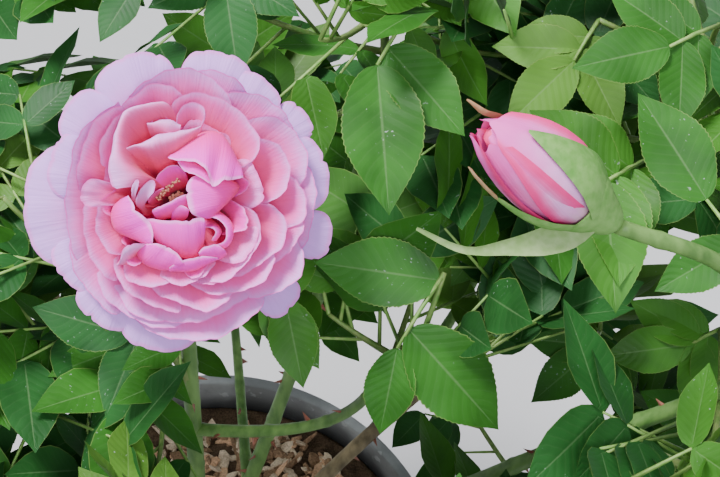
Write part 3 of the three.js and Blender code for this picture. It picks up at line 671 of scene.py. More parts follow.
green_bark = bark_finish("green_bark", (0.06, 0.15, 0.03), (0.17, 0.31, 0.08), 190.0, 0.0005, 0.5)
brown_bark = bark_finish("brown_bark", (0.1, 0.075, 0.04), (0.28, 0.22, 0.12), 230.0, 0.0008, 0.7)
thorn_finish = bark_finish("prickle_red", (0.18, 0.05, 0.035), (0.33, 0.13, 0.08), 300.0, 0.0002, 0.45)
BROWN_CANES = ("back_left_cane", "front_cane", "right_cane")
all_prickles = []
for seed, (name, (line, radii)) in enumerate(limbs.items(), 20):
    bark = brown_bark if name in BROWN_CANES else green_bark
    cane = add_piece(f"{name}_bark", *cane_mesh(line, radii, seed), [bark], "green_cane")
    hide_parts(name)
    all_prickles.append(prickles(line, radii, seed))


# Boughs: side stems that leave a cane low down and carry the lower masses of foliage. They
# are green like the canes and end where they enter a mass.
BOUGH_RADII = (3.0, 2.2)
BOUGHS = {  # cane, how far up it, then the tip as for a cane
    "right_front_bough": ("bud_cane", 0.3, -29, 180, 446),
    "right_back_bough": ("right_cane", 0.5, 33, 179, 474),
    "back_bough": ("back_cane", 0.3, 79, 114, 388),
    "left_bough": ("left_cane", 0.36, 155, 128, 386),
    "front_bough": ("front_cane", 0.3, 257, 109, 378),
    "right_low_bough": ("right_cane", 0.24, 4, 146, 368),
    "middle_bough": ("bloom_cane", 0.5, -4, 92, 536),
}
for seed, (name, (cane_name, share, *tip_at)) in enumerate(BOUGHS.items(), 40):
    foot = limbs[cane_name][0].at(share)
    tip = polar(*tip_at)
    outward = unit((tip - foot) * [1, 1, 0])
    line = Line(bend(foot, unit(outward + 0.35 * UP), tip, 0.6))
    limbs[name] = (line, BOUGH_RADII)
    bough = add_piece(f"{name}_bark", *cane_mesh(line, BOUGH_RADII, seed), [green_bark], "green_cane")
    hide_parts(name)
    all_prickles.append(prickles(line, BOUGH_RADII, seed))
add_piece("prickles", *joined(all_prickles), [thorn_finish], "green_cane", sharp=30)


# Foliage: every mass grows from one leader, whose shoots leave it by the golden angle. They
# carry compound leaves of up to seven leaflets on a thin stalk, in several greens. The teeth
# of a leaflet's edge are modelled only on the placed leaves near the flowers.
SHOOTS = 5
EXTRA_SHOOTS = 4
FIRST_SHOOT = 0.3  # the shares of the leader at which the first and the last shoot leave it
LAST_SHOOT = 0.94
SHOOT_NODES = (0.3, 0.48, 0.66, 0.84, 1)  # the shares of a shoot at which its leaves sit
LEADER_NODES = (0.7, 0.86, 1)
GOLDEN_ANGLE = math.radians(137.5)
LEAF_TURN = math.radians(144)
LEAFLET_LENGTH = 40.0
LEAFLET_WIDTH_SHARE = 0.55
LEAFLET_THICKNESS_SHARE = 0.013
LEAF_STALK = 56.0
LIGHT_LENGTH = 75.0  # the way to the light that other leaves leave free over a placed leaf
LIGHT_RADIUS = 19.0
CROWN_MARGIN = 4.0
BLOOM_RADIUS = 48.0
BLOOM_DEPTH = 30.0
BUD_RADIUS = 11.5
LIMB_GAP = 3.0  # how far the leaves stay off the limbs and, next, the bloom, bud and pot's rim
BLOOM_GAP = 3.0
BUD_GAP = 6.0
POT_GAP = 12.0
MASSES = {  # limb, how far up it, then the middle, the reach and the seed
    "foliage_under_bloom": ("bloom_cane", 0.6, 180, 8, 590, 92, 11),
    "foliage_right_top": ("right_cane", 1, 13, 209, 650, 104, 23),
    "foliage_back_top": ("back_cane", 1, 43, 127, 640, 108, 37),
    "foliage_under_bud": ("bud_cane", 0.62, -23, 222, 598, 94, 41),
    "foliage_middle": ("middle_bough", 1, -16, 112, 586, 92, 53),
    "foliage_right_back": ("right_back_bough", 1, 34, 219, 524, 100, 61),
    "foliage_back_left": ("back_left_cane", 1, 122, 155, 556, 104, 71),
    "foliage_left_top": ("left_cane", 1, 176, 130, 540, 104, 83),
    "foliage_front_left": ("front_left_cane", 1, 233, 153, 548, 102, 97),
    "foliage_front_top": ("front_cane", 1, 290, 151, 572, 102, 101),
    "foliage_left_low": ("left_bough", 1, 154, 171, 430, 98, 113),
    "foliage_right_front": ("right_front_bough", 1, -34, 212, 490, 98, 127),
    "foliage_back_low": ("back_bough", 1, 79, 145, 438, 98, 131),
    "foliage_front_low": ("front_bough", 1, 254, 133, 420, 98, 149),
    "foliage_right_low": ("right_low_bough", 1, 2, 188, 424, 98, 157),
}
OPENINGS = [  # kept free of leaves: top, foot and radius
    ((72, -78, 656), (53, 100, 263), 33),
    ((150, -62, 640), (192, 110, 269), 24),
    ((110, -81, 759), (120, 3, 599), 9),
    ((152, -73, 763), (175, -5, 641), 7),
    ((128, -50, 623), (127, -45, 614), 14),
]
# Leaves that show one by one round the bloom and the bud: the mass and how far up its leader
# they start, the foot and the end of the stalk, the tip of the end leaflet, the shade, and
# the tips of the side leaflets that show, each with its place on the stalk.
PLACED_LEAVES = [
    ("foliage_back_top", 0.9, (111, 66, 705), (94, 36, 699), (98, -10, 684), 1,
     [(0.8, (122, 14, 692))]),
    ("foliage_middle", 0.8, (117, -10, 644), (101, -32, 631), (96, -53, 613), 1,
     [(0.1, (73, -8, 648)), (0.75, (138, -53, 607))]),
    ("foliage_right_top", 0.8, (204, -38, 702), (191, -22, 711), (171, 4, 729), 1,
     [(0.3, (176, -46, 698))]),
    ("foliage_right_top", 0.72, (180, 6, 690), (162, -14, 708), (165, -51, 695), 2, []),
    ("foliage_right_top", 0.95, (202, 42, 712), (184, 29, 718), (162, 22, 720), 1, []),
    ("foliage_back_top", 0.7, (42, 104, 681), (42, 81, 685), (47, 50, 673), 0, []),
    ("foliage_under_bloom", 0.7, (18, -13, 607), (8, -19, 615), (-24, -16, 630), 0, []),
    ("foliage_under_bloom", 0.8, (49, -4, 612), (62, -6, 617), (66, -24, 611), 2, []),
    ("foliage_right_top", 0.6, (167, 55, 698), (158, 40, 696), (146, 28, 694), 3, []),
    ("foliage_right_back", 0.9, (183, 11, 558), (178, 0, 563), (155, -21, 563), 1, []),
    ("foliage_under_bud", 0.6, (221, -6, 594), (210, -11, 591), (184, -14, 589), 2, []),
    ("foliage_right_front", 0.9, (230, -19, 540), (222, -23, 538), (202, -37, 530), 1, []),
]


def numbers(seed):
    """The source's repeatable numbers from 0 to 1."""
    state = seed * 7919 + 12345
    while True:
        state = (state * 1664525 + 1013904223) & 0xFFFFFFFF
        yield state / 4294967296


cuts = np.linspace(0, 1, 15)  # each limb as 14 straight pieces, for the tests of room
limb_starts = np.vstack([line.at(cuts[:-1]) for line, _ in limbs.values()])
limb_ends = np.vstack([line.at(cuts[1:]) for line, _ in limbs.values()])
limb_radii = np.concatenate([a + (b - a) * (cuts[1:] + cuts[:-1]) / 2 for _, (a, b) in limbs.values()])
placed_middles = np.array([np.add(row[3], row[4]) / 2 for row in PLACED_LEAVES])
light_side = placed_middles + LIGHT_LENGTH * unit(np.array([0.0, -0.5, 0.87]))
opening_tops, opening_feet = (np.array([row[k] for row in OPENINGS], float) for k in (0, 1))
kept_free = [  # starts and ends of segments, and the radius round them that leaves keep out of
    (BUD_FOOT[None], BUD_TIP[None], BUD_RADIUS + BUD_GAP),
    (placed_middles, light_side, LIGHT_RADIUS),
    (opening_tops, opening_feet, [row[2] for row in OPENINGS]),
    (limb_starts, limb_ends, limb_radii + LIMB_GAP),
]
crown_low = np.array(cad_box[0]) * 1000 - CROWN_MARGIN
crown_high = np.array(cad_box[1]) * 1000 + CROWN_MARGIN


def from_segments(points, starts, ends):
    """Distances of points from segments: to the foot of the perpendicular, kept on each."""
    way = ends - starts
    gap = points[:, None] - starts[None]
    share = np.clip((gap * way).sum(-1) / (way * way).sum(-1), 0, 1)
    return np.linalg.norm(gap - share[..., None] * way, axis=-1)


def free(points, middle, reach):
    """True for points in a mass's reach that are clear of limbs, flowers and openings, and
    of the light that falls on the placed leaves."""
    off = points - BLOOM_CENTRE
    fine = np.linalg.norm(points - middle, axis=1) < reach * 1.1
    fine &= (points > crown_low).all(1) & (points < crown_high).all(1)
    fine &= points[:, 2] > POT_HEIGHT + POT_GAP
    fine &= (off @ BLOOM_AXIS < -BLOOM_DEPTH) | (np.linalg.norm(off, axis=1) > BLOOM_RADIUS + BLOOM_GAP)
    for starts, ends, gaps in kept_free:
        fine &= (from_segments(points, starts, ends) > gaps).all(1)
    return fine


class Spray:
    """What has grown so far: leaflets by shade, and the twigs and stalks that carry them."""

    leaflets = {shade: [] for shade in range(4)}
    placed = {shade: [] for shade in range(4)}
    twigs = []
    stalks = []


def leaf_frame(direction, normal):
    """A leaflet's own axes: along it, across it and up from it."""
    direction = unit(direction)
    normal = unit(normal - direction * (normal @ direction))
    return np.stack([direction, np.cross(normal, direction), normal])


def leaf_parts(start, end, normal, length, pairs, along=None):
    """The leaflets of a compound leaf: one at the end and pairs behind it, each smaller. Each
    has its share of the stalk, its foot, the way it runs, the way it faces and its length."""
    ahead = unit(end - start)
    rows = [(1, end, along if along is not None else ahead - 0.1 * normal, normal, length)]
    side = np.cross(ahead, normal)
    for pair in range(pairs):
        share = 0.74 - pair * 0.64 / pairs
        foot = start + (end - start) * share
        for hand in (1, -1):
            way = ahead * 0.5 + hand * side * 0.87 - 0.1 * normal
            facing = normal + hand * 0.14 * side
            rows.append((share, foot, way, facing, length * (0.9 - 0.14 * pair)))
    return rows


def samples(base, frame_of, length):
    """Nine points over a leaflet, for the test of its place."""
    along = np.array([0.2, 0.5, 0.5, 0.5, 0.78, 0.78, 1, 0.3, 0.3])[:, None] * length
    aside = np.array([0, 0, 0.3, -0.3, 0.2, -0.2, 0, 0.26, -0.26])[:, None] * length
    return base + along * frame_of[0] + aside * frame_of[1]


def add_leaf(parts, test, shade, store):
    """Keeps the leaflets that pass the test, if there are two, with their own frames. Gives
    how far along the stalk the last of them sits."""
    kept = []
    shares = []
    for share, base, way, normal, length in parts:
        axes = leaf_frame(way, normal)
        if test(samples(base, axes, length)).all():
            kept.append((base, axes, length))
            shares.append(share)
    if len(kept) < 2:
        return 0
    store[shade].extend(kept)
    return max(shares)


def leaf_start(curve, at, turn, middle, drawn):
    """A leaf's stalk, which leaves its shoot sideways, and the way its blade faces."""
    start, along = curve.at(at), curve.along(at)
    across = unit(np.cross(along, UP + 1e-6))
    over = np.cross(across, along)
    spread = math.radians(30 + 34 * drawn[1])
    sideways = across * math.cos(turn) + over * math.sin(turn)
    way = along * math.cos(spread) + sideways * math.sin(spread)
    way[2] = way[2] * 0.5 + 0.1
    way = unit(way)
    outward = unit((start - middle) * [1, 1, 0] + 1e-9)
    normal = UP + 0.3 * outward + [(drawn[2] - 0.5) * 0.8, (drawn[3] - 0.5) * 0.8, 0]
    normal = unit(normal - way * (normal @ way))
    size = 0.78 + 0.36 * drawn[4]
    stalk = LEAF_STALK * size * (0.85 + 0.3 * drawn[5])
    return start, start + way * stalk - normal * stalk * 0.12, normal, LEAFLET_LENGTH * size


def grow_leaf(curve, node, turn, middle, drawn, here, shade):
    """A leaf of a shoot, at the first of five turns round it that leaves it room. Says
    whether there was one."""
    for more in (0, 1.2, -1.2, 2.4, -2.4):
        foot, end, normal, size = leaf_start(curve, node, turn + more, middle, drawn)
        if not here(foot + (end - foot) * np.linspace(0.3, 1, 4)[:, None]).all():
            continue
        parts = leaf_parts(foot, end, normal, size, 2 + (drawn[5] > 0.75))
        last = add_leaf(parts, here, shade, Spray.leaflets)
        if last > 0:
            Spray.stalks.append((np.stack([foot, foot + (end - foot) * last]), [0.8, 0.5]))
            return True
    return False


def clear_of_bloom(points):
    """The placed leaves may reach a little under the bloom's outermost petals."""
    return np.linalg.norm(points - BLOOM_CENTRE, axis=1) > BLOOM_RADIUS - 8


def add_placed_leaves(name, leader):
    """The placed leaves of a mass, each on its own twig from the leader. Gives how far up
    the leader the twigs start."""
    starts = []
    facing = np.array([0.05, -0.45, 0.9])
    for mass, start, *spots, shade, sides in PLACED_LEAVES:
        if mass != name:
            continue
        starts.append(start)
        foot, end, tip = np.array(spots, float)
        twig = bend(leader.at(start), leader.along(start), foot)
        Spray.twigs.append((twig[::3], np.linspace(1.4, 1.0, 14)))
        Spray.stalks.append((np.stack([foot, (foot + end) / 2 + UP, end]), [0.9, 0.8, 0.6]))
        length = max(np.linalg.norm(tip - end), 32)
        parts = leaf_parts(foot, end, facing, length, 0 if sides else 2, tip - end)
        for share, side_tip in sides:
            base = foot + (end - foot) * share
            way = np.array(side_tip) - base
            parts.append((share, base, way, facing, np.linalg.norm(way)))
        add_leaf(parts, clear_of_bloom, shade, Spray.placed)
    return starts


def shoot_paths(leader, reach, count, draw):
    """The shoots of a leader: how far up it each starts, and its path. They leave it by the
    golden angle, and the upper ones are shorter and rise more."""
    first_turn = next(draw) * 2 * math.pi
    shoots = []
    for k in range(count):
        up = k / (count - 1)
        turn = first_turn + k * GOLDEN_ANGLE + (next(draw) - 0.5) * 0.5
        rise = math.radians(4 + 34 * up + 12 * next(draw))
        length = reach * (0.72 - 0.2 * up + 0.12 * next(draw))
        flat = math.cos(rise)
        way = np.array([math.cos(turn) * flat, math.sin(turn) * flat, math.sin(rise)])
        start = FIRST_SHOOT + (LAST_SHOOT - FIRST_SHOOT) * up
        root = leader.at(start)
        shoots.append((start, bend(root, unit(way - 0.3 * UP), root + way * length)))
    return shoots


def grow_mass(name):
    """A leader from a limb into the middle of the mass, two lots of shoots and their leaves.
    A shoot ends where it has no more room, and each stem is drawn only as far as it bears."""
    limb, share, angle, out, height, reach, seed = MASSES[name]
    middle = polar(angle, out, height)
    line, radii = limbs[limb]
    start, along = line.at(share), line.along(share)
    direction = along if share == 1 else unit(unit(middle - start) + along)
    foot_radius = radii[1] if share == 1 else 2.4
    leader = Line(bend(start, direction, middle + UP * reach * 0.4))
    borne = [FIRST_SHOOT, *add_placed_leaves(name, leader)]
    shades = np.random.default_rng(seed)

    def here(points):
        return free(points, middle, reach)

    for lot, count in ((seed, SHOOTS), (seed + 500, EXTRA_SHOOTS)):
        draw = numbers(lot)
        shoots = shoot_paths(leader, reach, count, draw)
        for k, (start, points) in enumerate([*shoots, (1, leader.points)]):
            is_leader = k == count
            nodes = LEADER_NODES if is_leader else SHOOT_NODES
            drawn = [[next(draw) for _ in range(6)] for _ in nodes]
            room = here(points[4:]) | is_leader
            grown = 1 if room.all() else (4 + np.argmin(room)) / len(points)
            if grown < 0.35:
                continue
            curve = Line(points[: max(3, int(len(points) * grown))])
            shade = int(shades.choice(4, p=(0.34, 0.34, 0.22, 0.1)))
            last_node = 0
            for index, (node, six) in enumerate(zip(nodes, drawn)):
                turn = k * 0.9 + index * LEAF_TURN + (six[0] - 0.5) * 0.6
                if grow_leaf(curve, node, turn, middle, six, here, shade):
                    last_node = node
            if last_node > 0 and not is_leader:
                Spray.twigs.append((curve.at(np.linspace(0, last_node, 7)), np.linspace(1.5, 0.8, 7)))
            if last_node > 0:
                borne.append(last_node if is_leader else start)
    Spray.twigs.append((leader.at(np.linspace(0, max(borne), 12)), np.linspace(foot_radius, 1.1, 12)))


for mass in MASSES:
    grow_mass(mass)


def leaflet_template(rows, halves, teeth, fold, droop, wave):
    """A thin leaflet of unit length along x, closed between an upper and a lower sheet. Its
    half width is a power of the sine of a power of x, blunt at the foot and keener towards
    the tip, with saw teeth that point to the tip. The blade folds up along the midrib, droops
    with the square of x and waves at its edges. Gives its points, triangles and map, and
    which triangles are the lower face."""
    even = np.linspace(0, 1, rows + 1)
    x = even if teeth else (0.35 * even + 0.65 * (0.5 - 0.5 * np.cos(np.pi * even)))
    half = 0.5 * np.sin(np.pi * x**0.84) ** (0.6 + 0.5 * x)
    half = half * (1 + 0.05 * ((x * teeth) % 1 - 0.5)) if teeth else half
    half[[0, -1]] = 0
    side = np.linspace(-1, 1, 2 * halves + 1)
    y = half[:, None] * side[None] * LEAFLET_WIDTH_SHARE
    x = np.repeat(x[:, None], len(side), axis=1)
    z = fold * np.abs(y) - droop * x**2 + wave * np.sin(8 * x + 2 * np.sign(y)) * (2 * y) ** 2
    upper = np.stack([x, y, z], -1)
    inner = (np.abs(side)[None] < 1) & (half[:, None] > 0)
    lower = upper - [0, 0, 1] * (inner * LEAFLET_THICKNESS_SHARE)[..., None]
    uv = np.stack([0.5 + 0.5 * np.repeat(side[None], rows + 1, axis=0), x], -1)
    count = upper[..., 0].size
    top = np.arange(count).reshape(upper.shape[:2])
    top[0], top[-1] = top[0, 0], top[-1, 0]
    above, below = skin(top)[:, ::-1], skin(np.where(inner, top + count, top))
    points = np.concatenate([upper.reshape(-1, 3), lower.reshape(-1, 3)])
    maps = np.concatenate([uv.reshape(-1, 2)] * 2)
    lower_rows = np.repeat([0, 1], [len(above), len(below)])
    used, packed = np.unique(np.concatenate([above, below]), return_inverse=True)
    return points[used], packed.reshape(-1, 3), maps[used], lower_rows


def add_leaves(name, leaflets, templates, finishes):
    """Lays a template on each leaflet's frame, in turn over the templates."""
    parts, maps, rows = [], [], []
    for k, (points, triangles, uv, lower) in enumerate(templates):
        bases, axes, lengths = (np.array(column) for column in zip(*leaflets[k :: len(templates)]))
        laid = bases[:, None] + lengths[:, None, None] * np.einsum("pk,nkc->npc", points, axes)
        parts.append(repeated(laid, triangles))
        maps.append(np.tile(uv, (len(laid), 1)))
        rows.append(np.tile(lower, len(laid)))
    return add_piece(name, *joined(parts), finishes, "leaf", np.vstack(maps), np.concatenate(rows), 75)


def leaf_finish(name, green, vein, margin, gloss):
    """A leaf's upper or lower face: a pale midrib, faint side veins, a thin paler margin,
    blotches and specks of dust across the blade, and a surface quilted between the veins."""
    finish = Finish(name, Roughness=gloss, Specular_IOR_Level=0.25)
    across, along = finish.across()
    from_rib = abs(across - 0.5) * 2
    rib = 1 - from_rib.step(0.01, 0.05)
    slant = (along * 11 - from_rib * 2.2).fraction()
    side_vein = 1 - abs(slant - 0.5).step(0.02, 0.12)
    edge = from_rib.step(0.96, 1.0)
    place = finish.place()
    blotch = finish.noise(place, 55.0, 3).step(0.3, 0.7)
    dust = finish.noise(place, 800.0, 2).step(0.68, 0.74) * finish.noise(place, 60.0, 2).step(0.5, 0.62)
    darker = tuple(c * 0.62 for c in green)
    body = finish.mix(blotch, darker, green)
    veined = finish.mix(side_vein * 0.05 + rib * 0.36, body, vein)
    lined = finish.mix(edge * 0.45, veined, margin)
    finish.colour(finish.mix(dust * 0.55, lined, (0.5, 0.58, 0.5)))
    finish.feed(finish.shader, {"Roughness": gloss + blotch * 0.1 + dust * 0.2})
    finish.bump(abs(slant - 0.5) * 0.5 + from_rib.step(0.0, 0.2) * 0.3, 0.0005, 0.5)
    finish.let_light_through(0.22, (0.2, 0.42, 0.03))
    return finish


def paler(green, pale, share):
    """A green part of the way to a paler one."""
    return tuple((1 - share) * c + share * d for c, d in zip(green, pale))


GREENS_WITH_PAINTED_LIGHT = [  # upper green, from bluish dark to yellow-green; partly the leaves' own tones, partly painted shade in the darker and painted sunlight in the brighter
    ("deep", (0.018, 0.11, 0.02)),
    ("middle", (0.035, 0.17, 0.016)),
    ("bright", (0.056, 0.215, 0.018)),
    ("young", (0.1, 0.25, 0.03)),
]
plain_templates = [
    leaflet_template(9, 1, 0, 0.12, 0.06, 0.12),
    leaflet_template(9, 1, 0, 0.04, 0.12, -0.15),
    leaflet_template(9, 1, 0, 0.2, 0.02, 0.1),
]
fine_templates = [
    leaflet_template(72, 4, 24, 0.12, 0.08, 0.12),
    leaflet_template(72, 4, 24, 0.22, 0.12, -0.1),
]
for shade, (label, green) in enumerate(GREENS_WITH_PAINTED_LIGHT):
    pale = paler(green, (0.3, 0.42, 0.2), 0.5)
    under = paler(green, (0.24, 0.36, 0.2), 0.45)
    faces = [
        leaf_finish(f"leaf_{label}", green, pale, (0.3, 0.4, 0.1), 0.5),
        leaf_finish(f"leaf_under_{label}", under, (0.36, 0.46, 0.26), (0.3, 0.4, 0.2), 0.68),
    ]
    leaves = add_leaves(f"leaves_{label}", Spray.leaflets[shade], plain_templates, faces)
    if label == "deep":
        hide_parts(*MASSES)
    add_leaves(f"front_leaves_{label}", Spray.placed[shade], fine_templates, faces)

twig_finish = bark_finish("twig_green", (0.08, 0.2, 0.035), (0.2, 0.27, 0.08), 500.0, 0.0002, 0.5)
stalk_finish = bark_finish("stalk_green", (0.12, 0.28, 0.05), (0.24, 0.36, 0.1), 500.0, 0.0001, 0.5)
twig_mesh = joined([tube(points, radii, 6) for points, radii in Spray.twigs])
stalk_mesh = joined([tube(points, radii, 4) for points, radii in Spray.stalks])
add_piece("twigs", *twig_mesh, [twig_finish], "green_cane")
add_piece("leaf_stalks", *stalk_mesh, [stalk_finish], "leaf")


# Open bloom: a full rosette of some ninety petals on a short green cup. The outer ones are
# broad, pale and a little turned back, the next stand in crowded arcs, and those of the heart
# are short, deep pink and fold over it from all sides, with a deep hollow at one side.
PETAL_THICKNESS = 0.4
PETAL_FOOT = 3.2
PETAL_FOOT_HEIGHT = -18.0
# Each petal: the compass angle and distance of the middle of its rim, the rim's radius of
# bend and half spread, its height, and its lean there: 0 is upright, 90 lies out flat, and
# below 0 it folds in over the heart. The last number turns the petal about its own middle.
OUTER_PETALS = [
    (112, 48.5, 24, 46, -4, 98, 0), (140, 46, 19, 50, -3.5, 98, 4), (183, 48, 38, 41, -6, 104, 0),
    (163, 42, 24, 40, -3, 96, 4), (214, 43, 22, 42, -5, 98, 6), (237, 45.5, 20, 48, -5.5, 100, 3),
    (263, 46.8, 27, 42, -6, 102, 2), (289, 43.5, 26, 42, -5, 98, 5), (318, 48.2, 15, 52, -6.5, 104, -3),
    (349, 49, 15, 52, -6, 103, 4), (16, 47.5, 28, 40, -5, 99, 0), (38, 48.8, 14, 50, -6, 103, 4),
    (57, 47, 19, 48, -4, 100, -2), (76, 49, 22, 48, -4.5, 101, 2),
]
# Two rings of petals that show only in the gaps between the others.
LOW_RING = [(20, 38), (65, 38), (110, 37), (155, 37), (200, 36), (245, 37), (290, 38), (335, 38)]
HIDDEN_PETALS = [(turn, out, 24, 44, -6.5, 88, 0) for turn, out in LOW_RING] + [
    (0, 28, 18, 46, -2.5, 64, 0), (60, 28, 20, 46, -2.5, 64, 0), (110, 27, 20, 46, -2.5, 64, 0),
    (165, 25, 20, 46, -3.5, 64, 0), (225, 26, 20, 46, -3.5, 64, 0), (280, 27, 20, 46, -2.5, 64, 0),
    (320, 28, 18, 46, -2.5, 64, 0),
]
# Petals that stand open round the heart: the height of the rim, then points along it to the
# right and up, as the bloom faces the camera.
WIDE_RIMS = [
    (1.0, [(-20, 31), (-27, 25.5), (-31.6, 19), (-33.6, 12), (-34.4, 4), (-34.6, -5), (-33, -14),
           (-29.5, -22)]),
    (0.5, [(-34, -9), (-33, -17), (-29.4, -25), (-24, -31.6), (-18, -36)]),
    (1.0, [(-25.5, -23), (-22, -29.5), (-16, -34.6), (-9, -37.6), (-2, -38.6), (4, -37.8)]),
    (1.5, [(-20, -27), (-14.5, -33.6), (-6, -36.6), (2, -36.9), (9.6, -35.4), (17, -32.2), (23, -28.4)]),
    (0.3, [(-14, -37), (-6, -40.4), (2, -42.4), (10, -42), (17, -39.2), (24, -34.4), (28, -29)]),
    (2.0, [(22.6, -29.2), (28.4, -27.8), (34.2, -24.8), (38, -20.4), (38.8, -15.4), (37.6, -10)]),
    (0.0, [(38, -14), (40.4, -8.6), (41.6, -2), (41.8, 5), (40.6, 11), (37.8, 16)]),
    (1.5, [(37.4, 5.4), (38.8, 11), (38.4, 17), (36, 22.2), (31.6, 26.2), (26, 27.8), (20, 27)]),
    (2.0, [(35, 24.4), (31.6, 29.2), (26.6, 32.6), (20.6, 34.6), (14.4, 35), (9, 33.6)]),
    (2.5, [(15.4, 30.8), (12.6, 36), (7.6, 39.4), (1.2, 41.2), (-5.4, 40.8), (-11.4, 37), (-17.6, 32)]),
    (1.0, [(20.6, 35.4), (15, 39), (9, 41.6), (3.6, 42)]),
]
MIDDLE_RIMS = [
    (5.5, [(-28.6, 0), (-29.4, -6), (-28.2, -12.6), (-25.4, -18.6), (-22.4, -23), (-19.6, -25.6)]),
    (8.5, [(-25, -0.6), (-25.2, -6), (-23.6, -11.6), (-20.8, -15.8), (-18, -17)]),
    (6.0, [(-20.6, -18.6), (-17.4, -24.6), (-12.4, -29), (-5.8, -32.4), (1.4, -33.8)]),
    (6.5, [(-8, -26.6), (-4, -28.8), (1.4, -30.8), (7.4, -32.6), (12.6, -31.2), (17.6, -28.2)]),
    (9.5, [(-17, -19.6), (-14.8, -23.4), (-10.6, -25.4), (-5.6, -25.6), (-1.6, -24)]),
    (9.0, [(-6, -22.6), (-1.4, -24.4), (3.4, -24.2), (8, -22), (12, -18.6)]),
    (8.5, [(7.6, -23.6), (12.6, -23.6), (17.4, -21.2), (21.4, -16.8), (24, -11.4), (24.6, -6),
           (22.8, -1.8), (18.6, 0)]),
    (6.0, [(17, -22.6), (22, -20.6), (26.6, -16.6), (31, -12.6), (33, -7.4), (32, -2.8), (28.6, 0),
           (24.6, 0.8)]),
    (5.5, [(4, -25.4), (9.6, -27.2), (16, -27.4), (22, -25.6), (27, -21.8), (29.6, -16.6),
           (29.8, -11.6)]),
    (3.5, [(28, -18.8), (33.2, -15.2), (36.6, -10.4), (38, -5.2), (37, 0)]),
    (4.0, [(33.4, -7), (37, -4.8), (38.8, -0.6), (38.4, 4.2), (36, 8.2), (32.6, 10.4)]),
    (6.0, [(26, 0.6), (30, 3), (32.8, 7), (33.6, 11.6), (32, 16), (28.6, 19.2), (24, 20.8), (19.6, 20.4)]),
    (7.5, [(17, 11.6), (21.6, 13.8), (23.6, 18.4), (21.6, 24), (17.4, 28.8), (11.6, 31.8),
           (5.4, 34), (0.4, 33.6), (-3.6, 30.6)]),
    (6.0, [(2, 31.6), (-3.4, 35.6), (-9.2, 36), (-14.4, 32.4), (-19.4, 30)]),
    (4.5, [(-16.4, 30.8), (-22.6, 27.4), (-27.2, 22.6), (-30, 16.4), (-31.2, 9.4), (-31.4, 2.6)]),
    (7.5, [(-13.8, 29.4), (-18.8, 26.8), (-22.4, 22.4), (-24.4, 16.8), (-24.6, 11)]),
    (9.5, [(-1.6, 24), (-1.2, 28.2), (1.6, 30.6), (5, 30.2), (6.6, 27.4), (5, 23.4)]),
]
INNER_PETALS = [
    (175, 29.5, 9, 54, 12.5, 62, 3), (329, 25.7, 17, 40, 8.5, 40, -4),
    (18, 26.0, 16, 46, 7.5, 50, -3), (111, 32.0, 20, 28, 7.0, 28, -2),
    (70, 26.0, 16, 40, 7.5, 40, 0), (150, 24.0, 20, 30, 8.0, 20, 0), (290, 26.0, 16, 40, 7.5, 30, 0),
]
HEART_PETALS = [
    (105, 25.5, 26, 18, 8.5, 22, 0), (62, 21.5, 12, 40, 8.5, 12, 0), (28, 21.5, 10, 40, 8.0, 14, 0),
    (228, 22.5, 8, 44, 10.0, 8, 8), (345, 20.0, 10, 44, 9.5, 24, 4), (180, 23.0, 8, 44, 9.0, 16, 4),
    (280, 21.5, 12, 40, 8.5, 14, 0),
]
